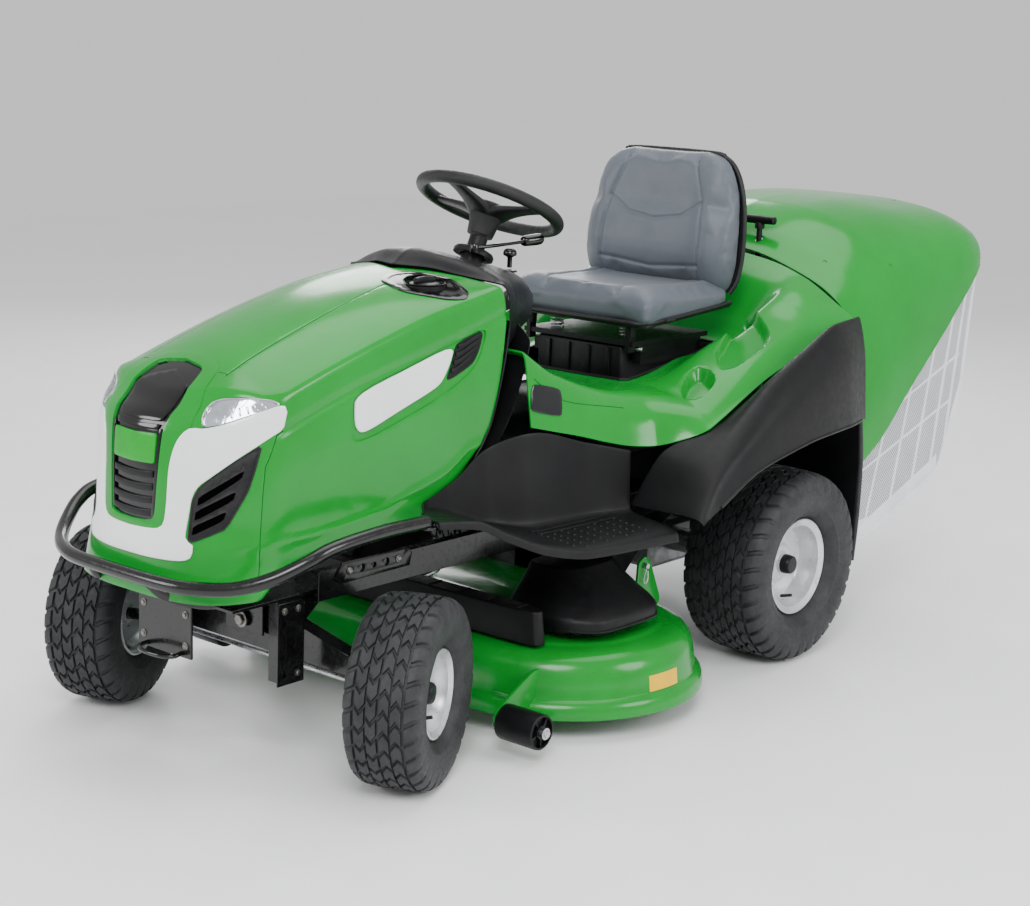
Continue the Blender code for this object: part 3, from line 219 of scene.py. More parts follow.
def resampled(rows, rows_out, columns_out, row_at=None, column_at=None):
    """A finer grid through a coarse grid of points."""
    data = np.array(rows, float)
    row_knots = np.arange(data.shape[0]) if row_at is None else np.asarray(row_at, float)
    column_knots = np.arange(data.shape[1]) if column_at is None else np.asarray(column_at, float)
    across = np.linspace(column_knots[0], column_knots[-1], columns_out)
    along = np.linspace(row_knots[0], row_knots[-1], rows_out)
    wide = np.zeros((data.shape[0], columns_out, 3))
    for i in range(data.shape[0]):
        for k in range(3):
            wide[i, :, k] = smooth(across, column_knots, data[i, :, k])
    full = np.zeros((rows_out, columns_out, 3))
    for j in range(columns_out):
        for k in range(3):
            full[:, j, k] = smooth(along, row_knots, wide[:, j, k])
    return full


def spline(points, steps=8):
    """A smooth path through points."""
    points = np.array(points, float)
    lengths = np.concatenate(([0.0], np.cumsum(np.linalg.norm(np.diff(points, axis=0), axis=1))))
    at = np.linspace(0.0, lengths[-1], (len(points) - 1) * steps + 1)
    padded = np.vstack((2 * points[0] - points[1], points, 2 * points[-1] - points[-2]))
    made = []
    for distance in at:
        i = min(max(int(np.searchsorted(lengths, distance)) - 1, 0), len(points) - 2)
        t = (distance - lengths[i]) / (lengths[i + 1] - lengths[i])
        p0, p1, p2, p3 = padded[i], padded[i + 1], padded[i + 2], padded[i + 3]
        made.append(0.5 * ((2 * p1) + (p2 - p0) * t + (2 * p0 - 5 * p1 + 4 * p2 - p3) * t ** 2
                           + (3 * p1 - p0 - 3 * p2 + p3) * t ** 3))
    return [Vector(point) for point in made]


def rounded(outline, times=2, share=0.22):
    """Cuts the corners off a closed outline of 2-D or 3-D points."""
    points = [Vector(p) for p in outline]
    for _ in range(times):
        made = []
        for index, point in enumerate(points):
            before, after = points[index - 1], points[(index + 1) % len(points)]
            made.append(point.lerp(before, share))
            made.append(point.lerp(after, share))
        points = made
        share = 0.25
    return points


# Meshes
def grid_mesh(rows, closed_rows=False, closed_columns=False):
    data = bmesh.new()
    made = [[data.verts.new(Vector(point)) for point in row] for row in rows]
    row_count, column_count = len(made), len(made[0])
    for i in range(row_count if closed_rows else row_count - 1):
        for j in range(column_count if closed_columns else column_count - 1):
            a, b = made[i][j], made[i][(j + 1) % column_count]
            c, d = made[(i + 1) % row_count][(j + 1) % column_count], made[(i + 1) % row_count][j]
            data.faces.new((a, b, c, d))
    return data


def close_rows(data, rows, count):
    """Closes the named rows of a mesh of rings, each of count points, with a face."""
    data.verts.ensure_lookup_table()
    for row in rows:
        data.faces.new([data.verts[row * count + k] for k in range(count)])


def outward(data, axis=2):
    """Makes a sheet's faces agree, and look towards +axis on the whole."""
    bmesh.ops.recalc_face_normals(data, faces=data.faces[:])
    if sum(face.normal[axis] * face.calc_area() for face in data.faces) < 0.0:
        bmesh.ops.reverse_faces(data, faces=data.faces[:])


def full_rows(half_rows):
    """Rows from the centre line outward become rows from side to side."""
    return [[(-x, y, z) for x, y,
             z in list(row)[:0:-1]] + [tuple(point) for point in row] for row in half_rows]


def joined(parts):
    """One mesh of several, which are used up."""
    whole = bmesh.new()
    for part in parts:
        kept = bpy.data.meshes.new("part")
        part.to_mesh(kept)
        part.free()
        whole.from_mesh(kept)
        bpy.data.meshes.remove(kept)
    return whole


def mirrored(part):
    other = part.copy()
    for vertex in other.verts:
        vertex.co.x = -vertex.co.x
    bmesh.ops.reverse_faces(other, faces=other.faces[:])
    return other


def both(part):
    return joined([part, mirrored(part)])


def rounded_box(low, high, radius=0.003, segments=2):
    data = bmesh.new()
    low, high = Vector(low), Vector(high)
    bmesh.ops.create_cube(data, size=1.0)
    for vertex in data.verts:
        vertex.co = Vector([low[k] + (vertex.co[k] + 0.5) * (high[k] - low[k]) for k in range(3)])
    bmesh.ops.bevel(data, geom=data.edges[:], offset=radius, segments=segments, profile=0.5,
                    affect="EDGES")
    return data


def prism(outline, axis, low, high, radius=0.0):
    """An outline in the two axes other than `axis`, from low to high."""
    data = bmesh.new()

    def place(point, along):
        if axis == "X":
            return along, point[0], point[1]
        if axis == "Y":
            return point[0], along, point[1]
        return point[0], point[1], along

    first = [data.verts.new(place(point, low)) for point in outline]
    last = [data.verts.new(place(point, high)) for point in outline]
    data.faces.new(first)
    data.faces.new(last)
    for index in range(len(outline)):
        after = (index + 1) % len(outline)
        data.faces.new((first[index], first[after], last[after], last[index]))
    bmesh.ops.recalc_face_normals(data, faces=data.faces[:])
    if radius > 0.0:
        rim = [edge for edge in data.edges if edge.calc_face_angle(0.0) > 0.5]
        bmesh.ops.bevel(data, geom=rim, offset=radius, segments=2, profile=0.5, affect="EDGES")
    return data


def upright(side, outline, near, far, radius):
    """A plate of (y, z) outline on one side, from one distance to another off the centre line."""
    low, high = sorted((side * near, side * far))
    return prism(outline, "X", low, high, radius)


def lathe(profile, segments=48, turn=None, centre=(0.0, 0.0, 0.0)):
    """A closed profile of (radius, height) turned about +Z, then moved."""
    rows = []
    for step in range(segments):
        angle = 2.0 * math.pi * step / segments
        rows.append([(r * math.cos(angle), r * math.sin(angle), h) for r, h in profile])
    data = grid_mesh(rows, closed_rows=True)
    bmesh.ops.remove_doubles(data, verts=data.verts[:], dist=1e-6)
    bmesh.ops.recalc_face_normals(data, faces=data.faces[:])
    matrix = Matrix.Translation(Vector(centre)) @ (turn.to_4x4() if turn is not None else Matrix.Identity(4))
    bmesh.ops.transform(data, matrix=matrix, verts=data.verts[:])
    return data


def aimed(direction):
    return Vector(direction).to_track_quat("Z", "Y").to_matrix().to_4x4()


def rod(start, end, radius, sides=20, chamfer=0.15):
    start, end = Vector(start), Vector(end)
    length = (end - start).length
    cut = min(radius * chamfer, length * 0.2)
    profile = [(0.0, 0.0), (radius - cut, 0.0), (radius, cut), (radius, length - cut),
               (radius - cut, length), (0.0, length)]
    return lathe(profile, sides, aimed(end - start), start)


def bolt(at, direction, size=0.007, height=0.005):
    """A hexagon head on a washer."""
    turn = aimed(direction)
    head = [(0.0, 0.0), (size, 0.0), (size, height * 0.8), (size * 0.85, height), (0.0, height)]
    washer = [(0.0, -0.0005), (size * 1.45, -0.0005), (size * 1.45, 0.0009), (size * 1.3, 0.0013),
              (0.0, 0.0013)]
    return joined([lathe(head, 6, turn, at), lathe(washer, 20, turn, at)])


def tube(path, radius, sides=14, closed=False, flat=1.0):
    """A round sweep along a path, with rounded ends. radius may be one number or one for each point."""
    path = [Vector(p) for p in path]
    radii = [radius] * len(path) if not hasattr(radius, "__len__") else list(radius)
    rows = []
    normal = None
    for index, point in enumerate(path):
        before = path[index - 1] if index > 0 or closed else point
        after = path[(index + 1) % len(path)] if index < len(path) - 1 or closed else point
        along = (after - before).normalized()
        if normal is None:
            normal = along.orthogonal().normalized()
        normal = (normal - along * normal.dot(along)).normalized()
        side = along.cross(normal)
        rows.append([point + (normal * math.cos(a) + side * math.sin(a) * flat) * radii[index]
                     for a in (2.0 * math.pi * k / sides for k in range(sides))])
    data = grid_mesh(rows, closed_rows=closed, closed_columns=True)
    if not closed:
        for row in (0, len(rows) - 1):
            data.verts.ensure_lookup_table()
            ends = [data.verts[row * sides + k] for k in range(sides)]
            data.faces.new(ends)
    bmesh.ops.recalc_face_normals(data, faces=data.faces[:])
    return data


# Pieces
def piece(name, data, skin, body, replaced=(), angle=32.0):
    """Makes the object of a mesh, shaded smooth apart from its sharp edges, and hands it to its body."""
    kept = bpy.data.meshes.new(name)
    data.to_mesh(kept)
    data.free()
    kept.transform(Matrix.Translation((0.0, DATUM_Y, 0.0)))
    kept.materials.append(M[skin])
    made = bpy.data.objects.new(name, kept)
    bpy.context.scene.collection.objects.link(made)
    for polygon in kept.polygons:
        polygon.use_smooth = True
    kept.set_sharp_from_angle(angle=math.radians(angle))
    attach(made, body)
    if replaced:
        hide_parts(*replaced)
    return made


def bake(made):
    """Applies an object's modifiers."""
    bpy.context.view_layer.update()
    depsgraph = bpy.context.evaluated_depsgraph_get()
    result = bpy.data.meshes.new_from_object(made.evaluated_get(depsgraph))
    old = made.data
    made.modifiers.clear()
    made.data = result
    bpy.data.meshes.remove(old)
    return made


def temporary(data):
    kept = bpy.data.meshes.new("cutter")
    data.to_mesh(kept)
    data.free()
    made = bpy.data.objects.new("cutter", kept)
    bpy.context.scene.collection.objects.link(made)
    return made


def taken(made):
    """The mesh of a temporary object with its modifiers applied. The object goes."""
    bake(made)
    result = bmesh.new()
    result.from_mesh(made.data)
    bpy.data.objects.remove(made)
    return result


def boolean(data, cutters):
    """A mesh less each of the cutters."""
    made = temporary(data)
    knives = [temporary(cutter) for cutter in cutters]
    for knife in knives:
        modifier = made.modifiers.new("cut", "BOOLEAN")
        modifier.operation = "DIFFERENCE"
        modifier.solver = "EXACT"
        modifier.object = knife
    result = taken(made)
    for knife in knives:
        bpy.data.objects.remove(knife)
    return result


def thickened(data, thickness):
    """A shell of even thickness behind a surface."""
    made = temporary(data)
    modifier = made.modifiers.new("shell", "SOLIDIFY")
    modifier.thickness = thickness
    modifier.offset = -1.0
    modifier.use_even_offset = True
    return taken(made)


def beveled(data, width, segments=2, angle=40.0):
    made = temporary(data)
    modifier = made.modifiers.new("bevel", "BEVEL")
    modifier.width = width
    modifier.segments = segments
    modifier.limit_method = "ANGLE"
    modifier.angle_limit = math.radians(angle)
    modifier.harden_normals = False
    return taken(made)


def dress(name, skin, bevel=0.0):
    """Keeps a CAD node, with eased edges and a better material."""
    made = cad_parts[name]
    made.data.materials.clear()
    made.data.materials.append(M[skin])
    if bevel > 0.0:
        made.modifiers.new("weld", "WELD").merge_threshold = 0.00005
        modifier = made.modifiers.new("bevel", "BEVEL")
        modifier.width = bevel
        modifier.segments = 2
        modifier.limit_method = "ANGLE"
        modifier.angle_limit = math.radians(38.0)
    return made


def tree_of(data):
    return BVHTree.FromBMesh(data)


def place_in(loop, point):
    """Whether a flat point is inside a closed loop, and its distance from the loop's edge."""
    crossings, near = 0, 1e9
    for p, q in zip(loop, loop[1:] + loop[:1]):
        if (p.y > point.y) != (q.y > point.y):
            if point.x < p.x + (point.y - p.y) / (q.y - p.y) * (q.x - p.x):
                crossings += 1
        along = q - p
        share = max(0.0, min(1.0, (point - p).dot(along) / max(along.length_squared, 1e-12)))
        near = min(near, (p + along * share - point).length)
    return crossings % 2 == 1, near


CAST_START = 0.15


def patch(tree, outline, direction, low, high, spacing=0.008, slope=0.0):
    """A solid that follows a surface. The outline's points are projected along direction onto the surface,
    and the solid runs from `low` to `high` along the surface's normal. slope draws its low side in."""
    direction = Vector(direction).normalized()
    first = direction.cross(Vector((0, 0, 1)) if abs(direction.z) < 0.9 else Vector((1, 0,
            0))).normalized()
    second = direction.cross(first)
    loop = []
    flat = [Vector((Vector(p).dot(first), Vector(p).dot(second))) for p in outline]
    for index, point in enumerate(flat):
        after = flat[(index + 1) % len(flat)]
        count = max(1, int((after - point).length / spacing))
        loop += [point.lerp(after, step / count) for step in range(count)]
    area = sum(p.x * q.y - q.x * p.y for p, q in zip(loop, loop[1:] + loop[:1]))
    if area < 0.0:
        loop.reverse()
    edges = [(i, (i + 1) % len(loop)) for i in range(len(loop))]
    inside = []
    low_x, high_x = min(p.x for p in loop), max(p.x for p in loop)
    low_y, high_y = min(p.y for p in loop), max(p.y for p in loop)
    margin = max(spacing * 0.45, slope * 1.15)
    for row in range(int((high_y - low_y) / spacing) + 1):
        for column in range(int((high_x - low_x) / spacing) + 1):
            point = Vector((low_x + (column + 0.5 * (row % 2)) * spacing, low_y + row * spacing))
            within, near = place_in(loop, point)
            if within and near > margin:
                inside.append(point)
    count = len(loop)
    verts, _, faces, origins, _, _ = delaunay_2d_cdt(loop + inside, edges, [list(range(count))], 1, 1e-6)
    inner = {}
    for index in range(count):
        before, after = loop[index - 1], loop[(index + 1) % count]
        along = (after - before).normalized()
        inner[index] = loop[index] + Vector((-along.y, along.x)) * slope

    depth = [Vector(p).dot(direction) for p in outline]

    def cast(point):
        start = first * point.x + second * point.y + direction * (min(depth) - CAST_START)
        hit, normal, _, _ = tree.ray_cast(start, direction)
        if hit is None:
            half_depth = (max(depth) - min(depth)) / 2.0
            hit, normal, _, _ = tree.find_nearest(start + direction * (CAST_START + half_depth))
        if normal.dot(direction) > 0.0:
            normal = -normal
        return hit, normal

    data = bmesh.new()
    top, base = [], []
    rim = {}
    for index, point in enumerate(verts):
        hit, normal = cast(point)
        top.append(data.verts.new(hit + normal * high))
        source = [k for k in origins[index] if k < count]
        if source:
            rim[source[0]] = index
            if slope:
                hit, normal = cast(inner[source[0]])
        base.append(data.verts.new(hit + normal * low))
    for face in faces:
        data.faces.new([top[k] for k in face])
        data.faces.new([base[k] for k in reversed(face)])
    ring = [rim[k] for k in sorted(rim)]
    for a, b in zip(ring, ring[1:] + ring[:1]):
        try:
            data.faces.new((top[a], base[a], base[b], top[b]))
        except ValueError:
            pass
    bmesh.ops.recalc_face_normals(data, faces=data.faces[:])
    return data


def ribbon(path, width, direction):
    """The outline of a strip along a path, seen along direction."""
    direction = Vector(direction).normalized()
    path = [Vector(p) for p in path]
    left, right = [], []
    for index, point in enumerate(path):
        along = path[min(index + 1, len(path) - 1)] - path[max(index - 1, 0)]
        side = along.cross(direction).normalized() * (width / 2.0)
        left.append(point + side)
        right.append(point - side)
    return left + right[::-1]


def loft(sections, sides=20, power=1.0, square=0.0):
    """Sections of (centre, half width, half height), joined into one skin. The `square` side stays full."""
    rows = []
    for centre, wide, high in sections:
        ring = []
        for k in range(sides):
            angle = 2.0 * math.pi * k / sides
            c, s = math.cos(angle), math.sin(angle)
            bend = 0.2 if square * s > 0.0 else power
            c = math.copysign(abs(c) ** bend, c)
            s = math.copysign(abs(s) ** bend, s)
            ring.append(Vector(centre) + Vector(wide) * c + Vector(high) * s)
        rows.append(ring)
    data = grid_mesh(rows, closed_columns=True)
    close_rows(data, (0, len(rows) - 1), sides)
    bmesh.ops.recalc_face_normals(data, faces=data.faces[:])
    return data


def dome(at, radius, height, direction=(0, 0, 1), segments=14):
    profile = [(radius * math.cos(a),
                height * math.sin(a)) for a in (k * math.pi / 8.0 for k in range(5))]
    profile = [(0.0, -0.001), (radius, -0.001)] + profile[:-1] + [(0.0, height)]
    return lathe(profile, segments, aimed(direction), at)


def press(data, outline, depth, ramp):
    """Pushes a surface down inside an outline seen from above, on both sides, with a rounded wall."""
    for side in BOTH:
        flat = [Vector((side * p.x, p.y)) for p in outline]
        low = Vector((min(p.x for p in flat), min(p.y for p in flat)))
        high = Vector((max(p.x for p in flat), max(p.y for p in flat)))
        for vertex in data.verts:
            point = vertex.co.xy
            if not (low.x < point.x < high.x and low.y < point.y < high.y):
                continue
            within, near = place_in(flat, point)
            if within:
                share = min(1.0, near / ramp)
                vertex.co.z -= depth * share * share * (3.0 - 2.0 * share)
    return data


# Hood
SIDE_Y = -1.05


def hood_bottom(y):
    return smooth(y, (-1.13, -1.06, -0.92, -0.73, -0.60), (0.383, 0.440, 0.462, 0.468, 0.474))


def hood_crease(y):
    return smooth(y, (-1.19, -1.10, -1.07, -0.948, -0.817, -0.668, -0.516, -0.45), (0.756, 0.757, 0.766,
            0.805, 0.843, 0.882, 0.910, 0.924))


def hood_centre(y):
    return smooth(y, (-1.19, -1.131, -1.08, -1.0, -0.8, -0.65, -0.55, -0.43), (0.760, 0.800, 0.824, 0.853,
            0.910, 0.938, 0.949, 0.955))


def hood_rear(z):
    return smooth(z, (0.474, 0.520, 0.646, 0.812, 0.863, 0.925), (-0.604, -0.595, -0.487, -0.444, -0.438,
            -0.450))


def swage(y):
    return smooth(y, (-1.14, -0.976, -0.821, -0.723, -0.627, -0.55), (0.487, 0.491, 0.505, 0.531, 0.556,
            0.60))


def shoulder_line(y):
    return smooth(y, (-1.077, -0.992, -0.901, -0.62, -0.44), (0.698, 0.726, 0.754, 0.821, 0.867))


def hood_at(level, crown, angle, step):
    """angle turns round the nose up to 90 degrees, then step runs back along the side."""
    front_y = smooth(level, (0.0, 0.21, 0.38, 0.83, 0.90, 1.0), (-1.248, -1.250, -1.2465, -1.238, -1.228,
            -1.185))
    front_y += crown * 0.105
    front_z = 0.378 + level * 0.379
    roundness = float(np.interp(level, (0.0, 0.21, 0.38, 1.0), (0.62, 0.80, 0.90, 1.0)))
    if step <= 0.0:
        turn = math.radians(angle)
        y = SIDE_Y + (front_y - SIDE_Y) * max(math.cos(turn), 0.0) ** roundness
        out = math.sin(turn) ** roundness
    else:
        rear_y = hood_rear(0.474 + level * 0.451) - crown * 0.102
        y = SIDE_Y + (rear_y - SIDE_Y) * step
        out = 1.0
    width = smooth(level, (0.0, 0.5, 0.8, 1.0), (0.238, 0.237, 0.232, 0.228))
    x = width * out * (1.0 - crown)
    if level < 1.0:
        side_z = hood_bottom(y) + (hood_crease(y) - hood_bottom(y)) * level
        z = side_z + (front_z - side_z) * (1.0 - out ** 3)
        x += 0.0030 * math.exp(-((z - swage(y)) / 0.0075) ** 2) * out ** 6
        x -= 0.0030 * math.exp(-((z - shoulder_line(y)) / 0.008) ** 2) * out ** 6
    else:
        bulge = 1.0 - min(1.0, x / width) ** 2.4
        z = hood_crease(y) + (hood_centre(y) - hood_crease(y)) * bulge
    return float(x), float(y), float(z)


def hood_grid():
    places = [(angle, 0.0) for angle in np.linspace(0.0, 90.0, 37)] + [(90.0,
            step) for step in np.linspace(0.0, 1.0, 61)[1:]]
    levels = np.linspace(0.0, 1.0, 49)[:-1]
    crowns = np.linspace(0.0, 1.0, 31)
    rows = [[hood_at(level, 0.0, *place) for place in places] for level in levels]
    rows += [[hood_at(1.0, crown, *place) for place in places] for crown in crowns]
    edge = len(levels)
    plain = np.array(rows)
    eased = plain.copy()
    for _ in range(2):
        for k in (edge - 1, edge, edge + 1):
            eased[k] = 0.25 * plain[k - 1] + 0.5 * plain[k] + 0.25 * plain[k + 1]
        plain = eased.copy()
    eased[:, 0, 0] = 0.0
    data = grid_mesh(full_rows(eased.tolist()))
    bmesh.ops.remove_doubles(data, verts=data.verts[:], dist=2e-5)
    outward(data)
    return data


SIDEWAYS = Vector((-1.0, 0.0, 0.0))
NOSEWARD = Vector((0.0, 0.87, -0.48))
DOWN = Vector((0.0, 0.0, -1.0))
BACKWARD = Vector((0.0, 1.0, 0.0))
SLANTED = Vector((-0.62, 0.78, 0.0)).normalized()
BADGE_RECESS = [(-0.893, 0.751), (-0.900, 0.700), (-0.898, 0.651), (-0.842, 0.655), (-0.752, 0.680),
                (-0.640, 0.711), (-0.549, 0.751), (-0.513, 0.789), (-0.491, 0.851), (-0.602, 0.827),
                (-0.750, 0.789)]
SIDE_PLATE = [(-0.882, 0.746), (-0.886, 0.712), (-0.884, 0.682), (-0.865, 0.668), (-0.762, 0.702),
              (-0.659, 0.734), (-0.636, 0.748), (-0.612, 0.783), (-0.599, 0.818), (-0.739, 0.783)]
LOUVRE = [(-0.592, 0.820), (-0.506, 0.842), (-0.520, 0.800), (-0.541, 0.772), (-0.625, 0.742),
          (-0.604, 0.782)]


def on_side(side):
    """What carries a left outline over to the given side."""
    return lambda outline: [(side * p[0], p[1], p[2]) for p in outline]


def at_side(outline):
    return [(0.236, y, z) for y, z in outline]


def half_patch(tree, half, direction, low, high, spacing=0.008):
    """A patch whose outline starts and ends on the centre line, made whole by its mirror image."""
    data = patch(tree, half, direction, low, high, spacing)
    for vertex in data.verts:
        if vertex.co.x < 0.0035:
            vertex.co.x = 0.0
    walls = [face for face in data.faces if all(vertex.co.x == 0.0 for vertex in face.verts)]
    bmesh.ops.delete(data, geom=walls, context="FACES")
    data = both(data)
    bmesh.ops.remove_doubles(data, verts=data.verts[:], dist=1e-5)
    bmesh.ops.recalc_face_normals(data, faces=data.faces[:])
    return data


def front_of(tree, outline):
    """Points given as (x, z) are dropped on the nose; points with a y stay."""
    made = []
    for point in outline:
        if len(point) == 3:
            made.append(Vector(point))
        else:
            hit = tree.ray_cast(Vector((point[0], -1.6, point[1])), BACKWARD)[0]
            made.append(hit if hit is not None else Vector((point[0], -1.24, point[1])))
    return made


GRILLE = [(0.0, 0.522), (0.035, 0.523), (0.054, 0.527), (0.062, 0.537), (0.066, 0.60), (0.072, 0.69),
          (0.077, 0.724), (0.079, -1.196, 0.745), (0.076, -1.160, 0.777), (0.066, -1.128, 0.800),
          (0.050, -1.120, 0.806), (0.0, -1.112, 0.812)]
SURROUND = [(0.0, 0.506), (0.050, 0.508), (0.074, 0.512), (0.087, 0.524), (0.091, 0.56), (0.093, 0.625),
            (0.100, 0.664), (0.111, 0.690), (0.122, 0.704), (0.122, -1.186, 0.735),
            (0.112, -1.150, 0.775), (0.090, -1.112, 0.806), (0.050, -1.094, 0.819), (0.0, -1.088, 0.823)]
TRIM = [(0.0, 0.508), (0.050, 0.510), (0.074, 0.514), (0.085, 0.526), (0.089, 0.56), (0.091, 0.625),
        (0.098, 0.666), (0.109, 0.692), (0.124, 0.707), (0.146, 0.708), (0.170, -1.168, 0.716),
        (0.199, -1.133, 0.731), (0.227, -1.070, 0.749), (0.229, -1.069, 0.715), (0.228, -1.082, 0.700),
        (0.220, -1.112, 0.684), (0.194, -1.159, 0.651), (0.160, -1.196, 0.614), (0.147, 0.600),
        (0.138, 0.580), (0.134, 0.550), (0.131, 0.500), (0.145, 0.492), (0.146, 0.470), (0.138, 0.461),
        (0.116, 0.457), (0.053, 0.455), (0.0, 0.455)]
VENT = [(0.219, -1.113, 0.680), (0.216, -1.128, 0.630), (0.211, -1.141, 0.590), (0.190, -1.175, 0.522),
        (0.172, -1.195, 0.510), (0.142, -1.217, 0.494), (0.134, -1.221, 0.497), (0.134, -1.219, 0.52),
        (0.136, -1.213, 0.572), (0.144, -1.206, 0.595), (0.159, -1.196, 0.612), (0.194, -1.158, 0.650)]
VENT_SLOTS = [[(0.146, -1.206, 0.580), (0.206, -1.146, 0.633), (0.204, -1.151, 0.617),
               (0.145, -1.208, 0.562)], [(0.143, -1.210, 0.553), (0.199, -1.159, 0.594),
                                         (0.195, -1.163, 0.576), (0.141, -1.212, 0.534)],
              [(0.140, -1.214, 0.524), (0.189, -1.174, 0.556), (0.185, -1.178, 0.538),
               (0.139, -1.217, 0.506)]]
HEADLIGHT = [(0.141, -1.191, 0.710), (0.133, -1.187, 0.728), (0.135, -1.177, 0.744),
             (0.144, -1.166, 0.756), (0.160, -1.155, 0.762), (0.199, -1.120, 0.764),
             (0.221, -1.090, 0.760), (0.227, -1.073, 0.750), (0.199, -1.133, 0.732),
             (0.168, -1.170, 0.716)]
SEAM_FRONT = [(0.228, -1.071, 0.700), (0.227, -1.086, 0.692), (0.226, -1.102, 0.654),
              (0.225, -1.112, 0.637), (0.225, -1.118, 0.580), (0.227, -1.124, 0.523),
              (0.230, -1.130, 0.470), (0.232, -1.133, 0.400)]
SEAM_CENTRE = [(0.118, -1.187, 0.737), (0.122, -1.160, 0.770), (0.121, -1.120, 0.795),
               (0.118, -1.060, 0.825), (0.116, -1.0, 0.845), (0.112, -0.90, 0.875), (0.105, -0.80, 0.90),
               (0.095, -0.70, 0.92), (0.082, -0.60, 0.94), (0.070, -0.53, 0.95)]
FUEL_OUTLINE = [(0.046, -0.604), (0.066, -0.655), (0.142, -0.664), (0.205, -0.600), (0.222, -0.556),
                (0.206, -0.530), (0.140, -0.520), (0.066, -0.556)]


def hood():
    surface_data = hood_grid()
    tree = tree_of(surface_data)
    shell = thickened(surface_data, 0.007)
    cutters = []
    for side in BOTH:
        turned = on_side(side)
        sideways = SIDEWAYS * side
        slanted = Vector((SLANTED.x * side, SLANTED.y, 0.0))
        cutters.append(patch(tree, turned(rounded(at_side(BADGE_RECESS), 2)), sideways, -0.0045, 0.012,
                             0.014, 0.004))
        cutters.append(patch(tree, turned(ribbon(SEAM_FRONT, 0.0022, SIDEWAYS)), slanted, -0.003, 0.004,
                             0.02))
        cutters.append(patch(tree, turned(ribbon(spline(SEAM_CENTRE[2:], 3), 0.0024, DOWN)), DOWN, -0.003,
                             0.004, 0.03))
        tick = [(0.100, -1.118, 0.80), (0.121, -1.114, 0.795)]
        cutters.append(patch(tree, turned(ribbon(tick, 0.002, DOWN)), DOWN, -0.003, 0.004, 0.03))
        cutters.append(patch(tree, turned(rounded(VENT, 1, 0.15)), slanted, -0.0055, 0.010, 0.02))
        cutters.append(patch(tree, turned(rounded(HEADLIGHT, 1, 0.15)), slanted, -0.0060, 0.010, 0.02))
    low_cut = [(0.0, 0.522)] + GRILLE[1:]
    cutters.append(half_patch(tree, front_of(tree, low_cut), NOSEWARD, -0.0062, 0.012, 0.016))
    cutters.append(rod((0.13, -0.575, 0.80), (0.13, -0.575, 1.05), 0.050, 40))
    shell = boolean(shell, cutters)
    piece("hood_skin", beveled(shell, 0.0011, 2, 32.0), "green", "hood", ("hood_shell",),
          30.0)
    hood_front(tree)
    hood_sides(tree)
    fuel_bezel(tree)
    return tree


